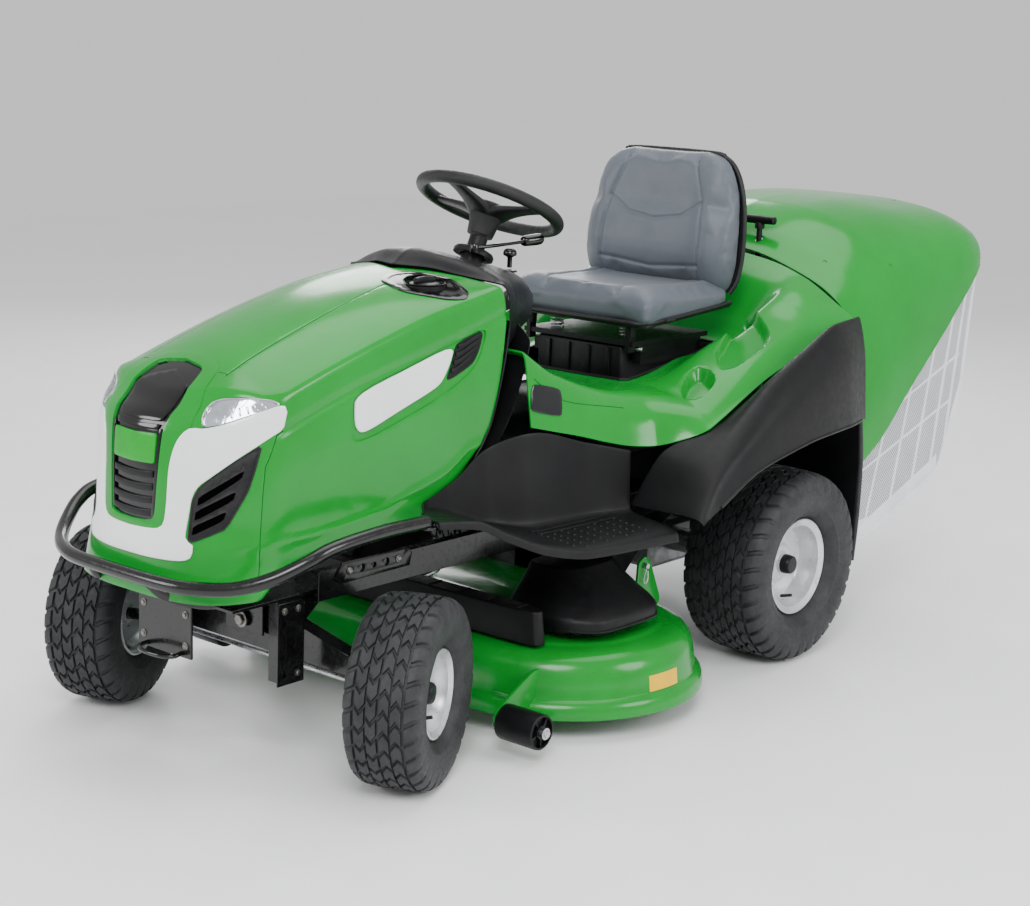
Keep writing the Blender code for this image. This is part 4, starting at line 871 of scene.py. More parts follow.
def hood_front(tree):
    slanted = (-0.55, 0.83, 0.0)
    trim = half_patch(tree, spline(front_of(tree, TRIM), 3), slanted, -0.0015, 0.0036, 0.007)
    piece("front_trim_u", beveled(trim, 0.0016, 3, 40.0), "white", "hood", ("front_trim",),
          40.0)
    outer = spline(front_of(tree, SURROUND), 4)
    inner = spline(front_of(tree, GRILLE), 4)
    bezel = half_patch(tree, outer, NOSEWARD, -0.003, 0.0014, 0.008)
    hole = half_patch(tree, inner, NOSEWARD, -0.0080, 0.012, 0.012)
    bezel = boolean(bezel, [hole])
    piece("grille_surround", beveled(bezel, 0.0012, 3, 40.0), "green", "hood", (), 40.0)
    floor = half_patch(tree, inner, NOSEWARD, -0.0062, -0.0048, 0.012)
    upper = [(0.0, 0.712), (0.045, 0.713), (0.061, 0.716), (0.066, 0.728), (0.068, -1.192, 0.748),
             (0.064, -1.162, 0.775), (0.0, -1.136, 0.797)]
    dome_panel = half_patch(tree, spline(front_of(tree, upper), 4), NOSEWARD, -0.0055, -0.0018, 0.010)
    lip = half_patch(tree, front_of(tree, [(0.0, 0.694), (0.058, 0.697), (0.062, 0.708), (0.0, 0.706)]),
                     BACKWARD, -0.006, -0.001, 0.010)
    frame_in = both(patch(tree, front_of(tree, [(0.0605, 0.530), (0.053, 0.534), (0.058, 0.60),
                                                (0.063, 0.70), (0.0700, 0.70), (0.0645, 0.60)]), BACKWARD,
                          -0.006, 0.0004, 0.012))
    parts = [floor, beveled(dome_panel, 0.0014, 2), beveled(lip, 0.001, 2), beveled(frame_in, 0.001, 2)]
    piece("grille_panel", joined(parts), "black_gloss", "hood", ("grille_insert",), 40.0)
    slats = []
    for number in range(4):
        z = 0.611 - 0.0245 * number
        half = [(0.0, z - 0.0085), (0.030, z - 0.0078), (0.055, z - 0.0050), (0.056, z + 0.0080),
                (0.030, z + 0.0055), (0.0, z + 0.0048)]
        slats.append(beveled(half_patch(tree, front_of(tree, half), BACKWARD, -0.0055,
                                        0.0012 - 0.0003 * number, 0.008), 0.002, 3))
    piece("grille_slats", joined(slats), "black_sheen", "hood", (), 40.0)
    plate = half_patch(tree, front_of(tree, [(0.0, 0.631), (0.055, 0.633), (0.058, 0.637), (0.059, 0.686),
                                             (0.056, 0.690), (0.0, 0.688)]), BACKWARD, -0.005, 0.0022,
                       0.010)
    piece("grille_badge", beveled(plate, 0.0014, 3), "badge", "hood", (), 40.0)
    for label, side in SIDES:
        turned = on_side(side)
        slant = Vector((SLANTED.x * side, SLANTED.y, 0.0))
        frame_data = patch(tree, turned(rounded(VENT, 1, 0.15)), slant, -0.0052, 0.0016, 0.010)
        slots = [patch(tree, turned(rounded(slot_line, 1, 0.12)), slant, -0.0050, 0.006,
                       0.012) for slot_line in VENT_SLOTS]
        middle = Vector((0.172, -1.185, 0.575))
        sunk = [p.lerp(middle, 0.085) for p in rounded(VENT, 1, 0.15)]
        slots.append(patch(tree, turned(sunk), slant, -0.0005, 0.006, 0.012))
        vent = boolean(frame_data, slots)
        piece(f"side_vent_{label}_frame", beveled(vent, 0.0011, 2, 35.0), "vent", "hood",
              (f"side_vent_{label}",), 35.0)
        # Near-black sheets at the bottom of the vent slots: painted shadow inside the slots
        shadow_floors = [patch(tree, turned(rounded(slot_line, 1, 0.12)), slant, -0.0052, -0.0042,
                       0.012) for slot_line in VENT_SLOTS]
        piece(f"side_vent_{label}_wells", joined(shadow_floors), "slot_shadow", "hood", (), 35.0)
        headlight(tree, label, slant, turned)


def headlight(tree, label, slant, turned):
    outline = rounded(HEADLIGHT, 2, 0.2)
    middle = sum((Vector(p) for p in outline), Vector()) / len(outline)
    inner = [p.lerp(middle, 0.045) for p in outline]
    reflector = patch(tree, turned(inner), slant, -0.0058, -0.0045, 0.006)
    ribs = []
    for number in range(7):
        share = 0.16 + number * 0.11
        low = Vector(HEADLIGHT[0]).lerp(Vector(HEADLIGHT[7]), share)
        high = Vector(HEADLIGHT[2]).lerp(Vector(HEADLIGHT[6]), share)
        a, b = low.lerp(high, 0.14), low.lerp(high, 0.80)
        ribs.append(patch(tree, turned(ribbon([a, b], 0.0042, slant)), slant, -0.0050,
                          -0.0022 - 0.0002 * number, 0.01))
    bulb = patch(tree, turned([Vector(HEADLIGHT[5]).lerp(middle, 0.42) + Vector((math.cos(a) * 0.006,
            math.sin(a) * 0.007, math.sin(a + 0.6) * 0.007)) for a in np.linspace(0.0, 5.6, 12)]), slant,
                 -0.0052, -0.0005, 0.01)
    piece(f"headlight_{label}_reflector", joined([reflector, bulb] + [beveled(rib, 0.0014,
            2) for rib in ribs]), "chrome", "hood", (), 40.0)
    lens = patch(tree, turned(outline), slant, 0.0006, 0.0030, 0.006)
    piece(f"headlight_{label}_lens", beveled(lens, 0.0009, 3), "lens", "hood", (f"headlight_{label}",),
          40.0)
    rim = boolean(patch(tree, turned(outline), slant, -0.0045, 0.0024, 0.010),
                  [patch(tree, turned([p.lerp(middle, 0.05) for p in outline]), slant, -0.007, 0.008,
                         0.010)])
    piece(f"headlight_{label}_rim", beveled(rim, 0.0006, 2), "silver", "hood", (), 40.0)


def hood_sides(tree):
    for label, side in SIDES:
        turned = on_side(side)
        sideways = SIDEWAYS * side
        plate = patch(tree, turned(rounded(at_side(SIDE_PLATE), 2)), sideways, -0.0048, 0.0010, 0.009)
        piece(f"side_plate_{label}", beveled(plate, 0.0020, 3), "white", "hood", (f"badge_plate_{label}",
                ), 40.0)
        base = patch(tree, turned(rounded(at_side(LOUVRE), 2, 0.18)), sideways, -0.0048, -0.0030, 0.010)
        parts = [base]
        top = [Vector((0.236, -0.586, 0.816)), Vector((0.236, -0.512, 0.836))]
        low = [Vector((0.236, -0.615, 0.750)), Vector((0.236, -0.548, 0.778))]
        for number in range(4):
            share = 0.04 + number * 0.245
            a = top[0].lerp(low[0], share)
            b = top[1].lerp(low[1], share)
            bend = a.lerp(b, 0.25) + Vector((0.0, 0.0, -0.004))
            slat = patch(tree, turned(ribbon([a, bend, b], 0.0105, SIDEWAYS)), sideways, -0.0045, 0.0002,
                         0.012)
            parts.append(beveled(slat, 0.0022, 3))
        piece(f"side_louvre_{label}", joined(parts), "black", "hood", (), 40.0)


def fuel_bezel(tree):
    outline = rounded([(x, y, 0.94) for x, y in FUEL_OUTLINE], 2, 0.2)
    plate = patch(tree, outline, DOWN, -0.0042, 0.0024, 0.008)
    well = rod((0.13, -0.585, 0.80), (0.13, -0.585, 1.05), 0.0440, 40)
    middle = Vector((0.135, -0.590, 0.94))
    dish = patch(tree, [p.lerp(middle, 0.14) for p in outline], DOWN, 0.0008, 0.010, 0.010, 0.001)
    plate = boolean(plate, [well, dish])
    piece("fuel_bezel", beveled(plate, 0.0012, 3, 35.0), "black_gloss", "hood", (), 35.0)
    ring = [(0.0445, 0.9300), (0.0445, 0.8900), (0.0425, 0.8900), (0.0425, 0.9285), (0.0400, 0.9300),
            (0.0425, 0.9330), (0.0445, 0.9330)]
    piece("fuel_bezel_ring", lathe(ring, 48, None, (0.13, -0.585, 0.0)), "black_sheen", "hood", ())


def fuel_cap_piece():
    profile = [(0.0, 0.9095), (0.031, 0.9095), (0.033, 0.9110), (0.0335, 0.929), (0.0320, 0.9325),
               (0.0250, 0.9345), (0.0, 0.9350)]
    rows = []
    count = 96
    for step in range(count):
        angle = 2.0 * math.pi * step / count
        wave = 0.0009 * (1.0 if step % 6 < 3 else 0.0)
        rows.append([((r - (wave if 0.025 < r else 0.0)) * math.cos(angle) + 0.13,
                      (r - (wave if 0.025 < r else 0.0)) * math.sin(angle) - 0.585, h) for r,
                     h in profile])
    skirt = grid_mesh(rows, closed_rows=True)
    bmesh.ops.remove_doubles(skirt, verts=skirt.verts[:], dist=1e-6)
    bmesh.ops.recalc_face_normals(skirt, faces=skirt.faces[:])
    grip = loft([(Vector((0.13, -0.585 + y, 0.9375)), Vector((w, 0, 0)), Vector((0, 0, h))) for y, w,
                 h in ((-0.029, 0.004, 0.003), (-0.026, 0.0075, 0.007), (-0.012, 0.0062, 0.009),
                       (0.0, 0.0058, 0.0095), (0.012, 0.0062, 0.009), (0.026, 0.0075, 0.007),
                       (0.029, 0.004, 0.003))], 20, 0.7)
    piece("fuel_cap_knob", joined([skirt, grip]), "black_sheen", "fuel_cap", ("fuel_cap",),
          35.0)


# Dash and steering
WHEEL_CENTRE = Vector((0.0, -0.236, 1.068))
WHEEL_TILT = math.radians(25.0)
WHEEL_TURN = Matrix.Translation(WHEEL_CENTRE) @ Matrix.Rotation(-WHEEL_TILT, 4, "X")


def column_point(along):
    return WHEEL_CENTRE + along * Vector((0.0, math.sin(WHEEL_TILT), math.cos(WHEEL_TILT)))


DASH = [
    [(0.0, -0.546, 0.956), (0.070, -0.515, 0.954), (0.130, -0.488, 0.944), (0.190, -0.461, 0.935),
     (0.222, -0.446, 0.930), (0.234, -0.433, 0.905), (0.236, -0.430, 0.860), (0.2375, -0.436, 0.810),
     (0.238, -0.480, 0.646), (0.238, -0.572, 0.522)],
    [(0.0, -0.475, 0.988), (0.070, -0.470, 0.980), (0.130, -0.455, 0.965), (0.185, -0.435, 0.945),
     (0.214, -0.420, 0.928), (0.226, -0.415, 0.905), (0.229, -0.414, 0.860), (0.231, -0.431, 0.810),
     (0.233, -0.476, 0.646), (0.235, -0.568, 0.521)],
    [(0.0, -0.352, 0.958), (0.070, -0.352, 0.955), (0.130, -0.360, 0.947), (0.175, -0.370, 0.932),
     (0.200, -0.382, 0.915), (0.212, -0.390, 0.895), (0.220, -0.396, 0.858), (0.226, -0.424, 0.808),
     (0.229, -0.471, 0.646), (0.232, -0.563, 0.521)],
    [(0.0, -0.225, 0.925), (0.060, -0.230, 0.923), (0.110, -0.250, 0.917), (0.145, -0.275, 0.905),
     (0.168, -0.300, 0.890), (0.185, -0.325, 0.872), (0.205, -0.362, 0.855), (0.222, -0.415, 0.805),
     (0.225, -0.466, 0.646), (0.229, -0.557, 0.520)],
    [(0.0, -0.165, 0.890), (0.050, -0.170, 0.888), (0.095, -0.195, 0.880), (0.125, -0.225, 0.865),
     (0.148, -0.255, 0.850), (0.170, -0.290, 0.838), (0.195, -0.345, 0.828), (0.218, -0.410, 0.800),
     (0.222, -0.462, 0.646), (0.226, -0.552, 0.520)],
]


def dash():
    rows = resampled(DASH, 49, 91)
    data = grid_mesh(full_rows(rows.tolist()))
    outward(data)
    tree = tree_of(data)
    shell = thickened(data, 0.0035)
    hole = rod(column_point(-0.30), column_point(0.0), 0.031, 48)
    seam = [patch(tree, ribbon([(0.0, -0.40, 0.97), (0.08, -0.405, 0.97), (0.15, -0.405, 0.955),
                                (0.205, -0.400, 0.92)], 0.002, DOWN), DOWN, -0.0015, 0.004, 0.03)]
    seam.append(mirrored(seam[0]))
    shell = boolean(shell, [hole] + seam)
    piece("dash_cover", beveled(shell, 0.0008, 2, 40.0), "black_sheen", "chassis", ("dash_console",),
          35.0)
    centre = column_point(-0.118)
    turn = Matrix.Rotation(-WHEEL_TILT, 4, "X")
    collar = [(0.0300, -0.006), (0.046, -0.006), (0.046, 0.002), (0.0425, 0.007), (0.036, 0.0095),
              (0.0315, 0.008), (0.0300, 0.004)]
    piece("column_collar", lathe(collar, 56, turn, centre), "black", "chassis", ())
    for number, (x, y) in enumerate(((-0.085, -0.262), (0.085, -0.262))):
        base = tree.ray_cast(Vector((x, y, 1.2)), DOWN)[0]
        ring = [(0.007, -0.002), (0.017, -0.002), (0.017, 0.0016), (0.0145, 0.0030), (0.007, 0.0030)]
        piece(f"dash_socket_{number}", lathe(ring, 32, None, base), "black_gloss", "chassis", ())
    key = Vector((-0.085, -0.262, 0.926))
    parts = [rod(key, key + Vector((0, 0, 0.008)), 0.0068, 24),
             rounded_box(key + Vector((-0.0012, -0.010, 0.004)), key + Vector((0.0012, 0.010, 0.020)),
                         0.0005, 2)]
    piece("ignition_switch", joined(parts), "steel", "chassis", ())


def bulkheads():
    """Dark walls inside: one closes the hood's rear below the dash, one lies under the tunnel."""
    rows = []
    for y, z in ((-0.372, 0.842), (-0.380, 0.800), (-0.400, 0.735), (-0.440, 0.646), (-0.495, 0.575),
                 (-0.535, 0.520), (-0.550, 0.440)):
        half = 0.205 if z > 0.81 else 0.250
        rows.append([(half * s, y, z) for s in np.linspace(-1.0, 1.0, 25)])
    wall = thickened(resampled_mesh(rows, 31, 25), 0.003)
    hole = rod(column_point(-0.62), column_point(-0.10), 0.034, 32)
    piece("dash_bulkhead", boolean(wall, [hole]), "black", "chassis", (), 40.0)
    rows = [[(x, y, z - 0.10 * abs(x / 0.26) ** 6) for x in np.linspace(-0.26, 0.26, 25)] for y,
            z in ((-0.44, 0.655), (-0.30, 0.630), (-0.10, 0.618), (0.10, 0.618), (0.30, 0.622),
                  (0.42, 0.632))]
    liner = thickened(resampled_mesh(rows, 31, 25), 0.003)
    slot_cut = rounded_box((-0.36, -0.01, 0.45), (-0.31, 0.21, 0.80), 0.004)
    column = rod(column_point(-0.62), column_point(-0.20), 0.034, 32)
    pedestal = [rounded_box((-0.128, 0.105, 0.612), (0.128, 0.430, 0.7325), 0.008, 3)]
    for x in (-0.09, -0.03, 0.03, 0.09):
        pedestal.append(rounded_box((x - 0.006, 0.0985, 0.640), (x + 0.006, 0.1060, 0.725), 0.002))
    piece("seat_pedestal", joined(pedestal), "black", "chassis", (), 40.0)
    piece("tunnel_liner", boolean(liner, [slot_cut, column]), "black", "chassis", (),
          40.0)


def resampled_mesh(rows, rows_out, columns_out):
    return grid_mesh(resampled(rows, rows_out, columns_out).tolist())


def steering():
    grip = []
    for k in range(28):
        a = 2.0 * math.pi * k / 28
        grip.append((0.157 + 0.0145 * math.cos(a), 0.0145 * math.sin(a)))
    rows = []
    count = 160
    for step in range(count):
        angle = 2.0 * math.pi * step / count
        ring = []
        for k, (r, h) in enumerate(grip):
            inner = r < 0.157 and h < 0.004
            notch = 0.0008 * max(0.0, math.cos(angle * 40.0)) if inner else 0.0
            ring.append(((r + notch) * math.cos(angle), (r + notch) * math.sin(angle), h))
        rows.append(ring)
    rim = grid_mesh(rows, closed_rows=True, closed_columns=True)
    bmesh.ops.recalc_face_normals(rim, faces=rim.faces[:])
    hub = lathe([(0.0, -0.0745), (0.029, -0.0745), (0.0300, -0.070), (0.0335, -0.045), (0.040, -0.024),
                 (0.0455, -0.012), (0.0460, -0.006), (0.0440, -0.0035), (0.0400, -0.0030),
                 (0.0390, -0.0042), (0.0370, -0.0042), (0.0355, -0.0022), (0.020, 0.0015), (0.0, 0.0025)],
                64)
    parts = [rim, hub]
    for angle in (0.0, 180.0, 270.0):
        sections = []
        for reach, wide, thick, z in ((0.022, 0.034, 0.0160, -0.024), (0.045, 0.0290, 0.0120, -0.0165),
                                      (0.075, 0.0225, 0.0088, -0.0105), (0.105, 0.0185, 0.0072, -0.0060),
                                      (0.130, 0.0175, 0.0066, -0.0030), (0.148, 0.0200, 0.0070, -0.0010),
                                      (0.158, 0.0230, 0.0075, 0.0)):
            sections.append((Vector((reach, 0.0, z)), Vector((0.0, wide, 0.0)),
                             Vector((0.0, 0.0, thick))))
        fine, knots = [], range(len(sections))
        for k in range((len(sections) - 1) * 4 + 1):
            at = k / 4.0
            fine.append(tuple(
                Vector([smooth(at, knots, [s[part][axis] for s in sections]) for axis in range(3)])
                for part in range(3)))
        spoke = loft(fine, 24, 0.75)
        bmesh.ops.rotate(spoke, verts=spoke.verts[:], matrix=Matrix.Rotation(math.radians(angle), 3, "Z"))
        parts.append(spoke)
    data = joined(parts)
    bmesh.ops.transform(data, matrix=WHEEL_TURN, verts=data.verts[:])
    piece("steering_wheel_grip", data, "grip", "steering_wheel", ("steering_wheel",),
          40.0)
    shaft = rod(column_point(-0.60), column_point(-0.079), 0.0205, 40, 0.05)
    sleeve = lathe([(0.0255, -0.30), (0.0258, -0.112), (0.0245, -0.105), (0.0, -0.105), (0.0, -0.30)], 48,
                   Matrix.Rotation(-WHEEL_TILT, 4, "X"), WHEEL_CENTRE)
    piece("steering_shaft", joined([shaft, sleeve]), "black", "chassis", ("steering_column",))


def console_controls():
    pivot = Vector((0.045, -0.335, 0.956))
    stem = tube(spline([pivot + Vector((0, 0, 0.026)), (0.056, -0.29, 0.984), (0.072, -0.205, 0.990)], 8),
                0.0042, 16)
    grip = loft([(Vector((0.080, -0.165, 0.9935)) + Vector((0.0012, 0.0055, 0.0004)) * k * 0.75,
                  Vector((r, 0, 0)), Vector((0, 0, r))) for k, r in ((-9.5, 0.0065), (-9, 0.0100),
            (-8, 0.0118), (-3, 0.0128), (0, 0.0130), (1.6, 0.0126), (2.6, 0.0105), (3.0, 0.006))], 28)
    collar = lathe([(0.0, 0.016), (0.0095, 0.016), (0.0098, 0.018), (0.0098, 0.030), (0.008, 0.034),
                    (0.0, 0.034)], 24, None, pivot)
    piece("throttle_lever", joined([stem, grip, collar]), "black_gloss", "column_lever", ("column_lever",
            ), 40.0)
    base = Vector((0.085, -0.262, 0.0))
    profile = [(0.0, 0.938), (0.0055, 0.938), (0.0055, 0.9600), (0.0090, 0.9625), (0.0145, 0.9650),
               (0.0152, 0.9680), (0.0150, 0.9720), (0.0125, 0.9765), (0.0070, 0.9800), (0.0, 0.9808)]
    piece("choke_button", lathe(profile, 40, None, base), "black_gloss", "choke_knob", ("choke_knob",),
          60.0)


# Wheels
def tread(profile, pitches, depth, first_angle):
    """A tyre whose ribs carry blocks with grooves between them. The profile's rib is -1 for plain wall."""
    steps = (0.0, 0.10, 0.18, 0.50, 0.78, 0.84, 0.97)
    heights = (0.0, 1.0, 1.0, 1.0, 1.0, 0.0, 0.0)
    rows = []
    for pitch in range(pitches):
        for step, height in zip(steps, heights):
            ring = []
            for r, a, rib, slant, sunk in profile:
                shift = 0.5 * (rib % 2) if rib >= 0 else 0.25
                angle = 2.0 * math.pi * (pitch + step + shift + slant) / pitches + first_angle
                drop = 0.0
                if rib >= 0:
                    drop = depth * (1.0 - height) * (1.0 - sunk) + depth * sunk
                ring.append(((r - drop) * math.cos(angle), (r - drop) * math.sin(angle), a))
            rows.append(ring)
    data = grid_mesh(rows, closed_rows=True)
    bmesh.ops.recalc_face_normals(data, faces=data.faces[:])
    return data


def tyre_rows(size, bands):
    """The profile from one bead round the outside to the other."""
    half = size["width"] / 2.0
    radius, rim = size["radius"], size["rim"]
    height = radius - rim
    bead = 0.66 * half
    wall = [(rim, 0.62 * half), (rim, bead), (size["flange"] + 0.003, bead + 0.002), (rim + 0.18 * height,
            0.82 * half), (rim + 0.30 * height, 0.91 * half), (rim + 0.34 * height, 0.945 * half),
            (rim + 0.36 * height, 0.945 * half), (rim + 0.40 * height, 0.955 * half),
            (rim + 0.52 * height, 0.985 * half)]
    profile = [(r, a, -1, 0.0, 0.0) for r, a in wall]
    shoulder = [(radius - 0.36 * height, 0.992 * half, 0.0), (radius - 0.30 * height, 0.995 * half, 0.0),
                (radius - 0.17 * height, 0.965 * half, 0.0), (radius - 0.09 * height, 0.90 * half, 0.05),
                (radius - 0.045 * height, 0.80 * half, 0.15), (radius - 0.022 * height, 0.68 * half,
            0.28)]
    profile.append((*shoulder[0][:2], 0, 0.0, 1.0))
    profile += [(r, a, 0, s, 0.0) for r, a, s in shoulder[1:]]
    profile.append((radius - 0.024 * height, 0.655 * half, 0, 0.28, 1.0))
    for rib, (start, end) in enumerate(bands, 1):
        middle = (start + end) / 2.0
        for share, sunk in ((start - 0.012, 1.0), (start, 0.0), (middle + 0.04, 0.0), (middle, 0.0),
                            (middle - 0.04, 0.0), (end, 0.0), (end - 0.012, 1.0)):
            crown = radius - 0.020 * height * (share / 0.68) ** 2
            slant = -0.34 * (1.0 - abs(share - middle) / max(abs(start - middle),
                    1e-6)) if sunk == 0.0 else 0.0
            profile.append((crown, share * half, rib, slant, sunk))
    mirror = [(r, -a, rib, -slant, sunk) for r, a, rib, slant, sunk in reversed(profile)]
    return profile + mirror


def rim_mesh(size, disc):
    """Deep steel rim: rolled flanges, drop centre, dished disc with a pressed ring, and a hub tube."""
    flat = 0.66 * size["width"] / 2.0
    barrel, flange, bore = size["rim"] - 0.0006, size["flange"], size["bore"]
    hub = bore + 0.009
    inner = barrel - 0.0035
    outside = [(flange - 0.0035, -flat - 0.0095), (flange - 0.0008, -flat - 0.0088),
               (flange, -flat - 0.0060), (flange - 0.0015, -flat - 0.0030), (barrel + 0.001,
            -flat - 0.0010), (barrel, -flat + 0.002), (barrel - 0.001, -flat * 0.72), (barrel - 0.008,
            -flat * 0.55), (barrel - 0.008, flat * 0.55), (barrel - 0.001, flat * 0.72),
               (barrel, flat - 0.002), (barrel + 0.001, flat + 0.0010), (flange - 0.0015, flat + 0.0030),
               (flange, flat + 0.0060), (flange - 0.0008, flat + 0.0088), (flange - 0.0035,
            flat + 0.0095)]
    face = [(inner - 0.001, flat + 0.003), (inner - 0.002, flat * 0.76), (inner - 0.0095, flat * 0.58),
            (inner - 0.0095, disc + 0.012), (inner - 0.013, disc + 0.006), (inner - 0.022, disc + 0.003),
            (0.050, disc + 0.004), (0.044, disc + 0.010), (0.038, disc + 0.0115), (0.034, disc + 0.011),
            (hub + 0.004, disc + 0.012), (hub, disc + 0.014), (hub, disc + 0.022), (bore, disc + 0.022)]
    behind = [(bore, disc - 0.045), (hub, disc - 0.045), (hub, disc + 0.004), (0.045, disc + 0.004),
              (inner - 0.014, disc - 0.002), (inner - 0.0115, disc - 0.006), (inner - 0.0115,
            -flat * 0.58), (inner - 0.003, -flat * 0.76), (inner - 0.002, -flat - 0.003)]
    return lathe(outside + face + behind, 72)


# Where the front wheels turn, and how far they are turned at rest
KINGPIN_X, AXLE_Y, STEERED = 0.3134, -0.928, math.radians(24.0)


def wheels():
    reach = 0.095
    front = {"radius": 0.1905, "width": 0.155, "rim": 0.078, "flange": 0.089, "bore": 0.0135}
    rear = {"radius": 0.2285, "width": 0.216, "rim": 0.103, "flange": 0.115, "bore": 0.0145}
    front_bands = [(0.60, 0.34), (0.29, 0.035)]
    rear_bands = [(0.61, 0.42), (0.38, 0.215), (0.175, 0.020)]
    for label, side in SIDES:
        across = side * reach
        places = (("front", front, Vector((side * KINGPIN_X + across * math.cos(STEERED),
                                           AXLE_Y + across * math.sin(STEERED), front["radius"])),
                   STEERED, 30, front_bands, 0.0055, 0.012, 0.034),
                  ("rear", rear, Vector((side * 0.417, 0.348, rear["radius"])), 0.0, 34, rear_bands,
                   0.0070, 0.020, 0.042))
        for axle, size, centre, steer, pitches, bands, depth, disc, stub in places:
            aim = Matrix.Rotation(steer, 4, "Z") @ Matrix.Rotation(side * math.pi / 2.0, 4, "Y")
            place = Matrix.Translation(centre) @ aim
            body = f"wheel_{axle}_{label}"
            data = tread(tyre_rows(size, bands), pitches, depth, 0.3 * side)
            rim = rim_mesh(size, disc)
            valve = rod((size["rim"] - 0.022, 0.0, 0.66 * size["width"] / 2.0 - 0.034),
                        (size["rim"] - 0.030, 0.0, 0.66 * size["width"] / 2.0 - 0.004), 0.0038, 14)
            cap = lathe([(0.0, disc + 0.0225), (size["bore"] + 0.0085, disc + 0.0225),
                         (size["bore"] + 0.0090, disc + 0.0270), (size["bore"] + 0.0070, disc + stub),
                         (size["bore"] + 0.004, disc + stub + 0.0028), (0.0, disc + stub + 0.0035)], 36)
            for made in (data, rim, valve, cap):
                bmesh.ops.transform(made, matrix=place, verts=made.verts[:])
            piece(f"tyre_{axle}_{label}_tread", data, "rubber", body, (f"tyre_{axle}_{label}",),
                  34.0)
            piece(f"rim_{axle}_{label}_disc", rim, "silver", body, (f"rim_{axle}_{label}",),
                  40.0)
            piece(f"valve_{axle}_{label}", valve, "grip", body, (), 40.0)
            piece(f"hub_cap_{axle}_{label}", cap, "black_sheen", body, (), 40.0)


# Green rear body, fenders and footboards
BODY = [
    (-0.410, ((0.0, 0.790), (0.14, 0.790), (0.254, 0.788), (0.275, 0.700), (0.286, 0.630))),
    (-0.305, ((0.0, 0.735), (0.16, 0.735), (0.258, 0.728), (0.290, 0.660), (0.307, 0.605))),
    (-0.070, ((0.0, 0.672), (0.20, 0.672), (0.262, 0.668), (0.335, 0.620), (0.362, 0.556))),
    (0.040, ((0.0, 0.665), (0.20, 0.665), (0.270, 0.662), (0.385, 0.635), (0.440, 0.597))),
    (0.080, ((0.0, 0.668), (0.20, 0.668), (0.272, 0.670), (0.385, 0.650), (0.440, 0.613))),
    (0.250, ((0.0, 0.700), (0.20, 0.700), (0.280, 0.738), (0.385, 0.725), (0.440, 0.683))),
    (0.430, ((0.0, 0.712), (0.20, 0.712), (0.285, 0.800), (0.385, 0.778), (0.440, 0.735))),
    (0.500, ((0.0, 0.770), (0.20, 0.770), (0.290, 0.832), (0.385, 0.798), (0.440, 0.756))),
    (0.570, ((0.0, 0.885), (0.20, 0.868), (0.295, 0.860), (0.385, 0.815), (0.440, 0.777))),
    (0.622, ((0.0, 0.934), (0.20, 0.905), (0.300, 0.872), (0.388, 0.822), (0.440, 0.790))),
]
TRAY = [(0.215, 0.508), (0.285, 0.432), (0.368, 0.372), (0.392, 0.308), (0.386, 0.205), (0.357, 0.176),
        (0.298, 0.232), (0.292, 0.270), (0.235, 0.400), (0.205, 0.470)]
CUP = [(0.300, 0.168), (0.330, 0.172), (0.366, 0.152), (0.380, 0.118), (0.376, 0.066), (0.352, 0.044),
       (0.318, 0.078), (0.296, 0.130)]


def rear_body():
    rows = [[(x, y, z) for x, z in half] for y, half in BODY]
    fine = resampled(rows, 231, 97, [y for y, _ in BODY])
    data = grid_mesh(full_rows(fine.tolist()))
    outward(data)
    for outline, depth in ((TRAY, 0.024), (CUP, 0.030)):
        press(data, [Vector(p) for p in rounded([(x, y) for x, y in outline], 2)], depth, 0.012)
    tree = tree_of(data)
    shell = thickened(data, 0.004)
    opening = rounded([(-0.192, 0.035), (0.192, 0.035), (0.192, 0.440), (-0.192, 0.440)], 2, 0.06)
    cutters = [prism([tuple(p) for p in opening], "Z", 0.60, 0.90), rod(column_point(-0.42),
            column_point(-0.20), 0.031, 40), rounded_box((-0.346, 0.0, 0.55), (-0.326, 0.200, 0.85),
                                                         0.006)]
    for side in BOTH:
        groove = [(side * 0.272, -0.39, 0.73), (side * 0.290, -0.305, 0.675), (side * 0.325, -0.12, 0.64)]
        cutters.append(patch(tree, ribbon(spline(groove, 4), 0.002, SIDEWAYS), SIDEWAYS * side, -0.0022,
                             0.004, 0.03))
    shell = boolean(shell, cutters)
    piece("rear_body", beveled(shell, 0.0012, 2, 38.0), "green", "chassis", ("rear_body_shell",),
          34.0)
    rim = [tuple(p) for p in opening]
    edge = tube([Vector((x, y, tree.ray_cast(Vector((x * 1.03, y, 1.2)), DOWN)[0].z + 0.0015)) for x,
                 y in rim], 0.0045, 8, True)
    piece("tunnel_edge", edge, "black", "chassis", ())
    for label, side in SIDES:
        plate = [(side * 0.30, y, z) for y, z in ((-0.398, 0.722), (-0.305, 0.700), (-0.318, 0.642),
                                                  (-0.412, 0.664))]
        badge = patch(tree, rounded(plate, 2, 0.12), SIDEWAYS * side, 0.0002, 0.0020, 0.012)
        piece(f"data_plate_{label}", beveled(badge, 0.0008, 2), "plate", "chassis", (),
              40.0)


FENDER_ROWS = (-0.128, -0.055, 0.08, 0.20, 0.34, 0.48, 0.60)
BOARD = [(-0.790, (0.333, 0.514), (0.335, 0.506), (0.374, 0.504), (0.377, 0.490)),
         (-0.700, (0.262, 0.516), (0.268, 0.500), (0.394, 0.495), (0.397, 0.478)),
         (-0.620, (0.252, 0.535), (0.260, 0.475), (0.414, 0.458), (0.417, 0.440)),
         (-0.520, (0.252, 0.590), (0.264, 0.440), (0.440, 0.418), (0.443, 0.400)),
         (-0.410, (0.288, 0.618), (0.305, 0.424), (0.461, 0.398), (0.464, 0.380)),
         (-0.250, (0.312, 0.580), (0.325, 0.424), (0.476, 0.393), (0.479, 0.375)),
         (-0.135, (0.345, 0.552), (0.352, 0.424), (0.484, 0.390), (0.487, 0.372))]


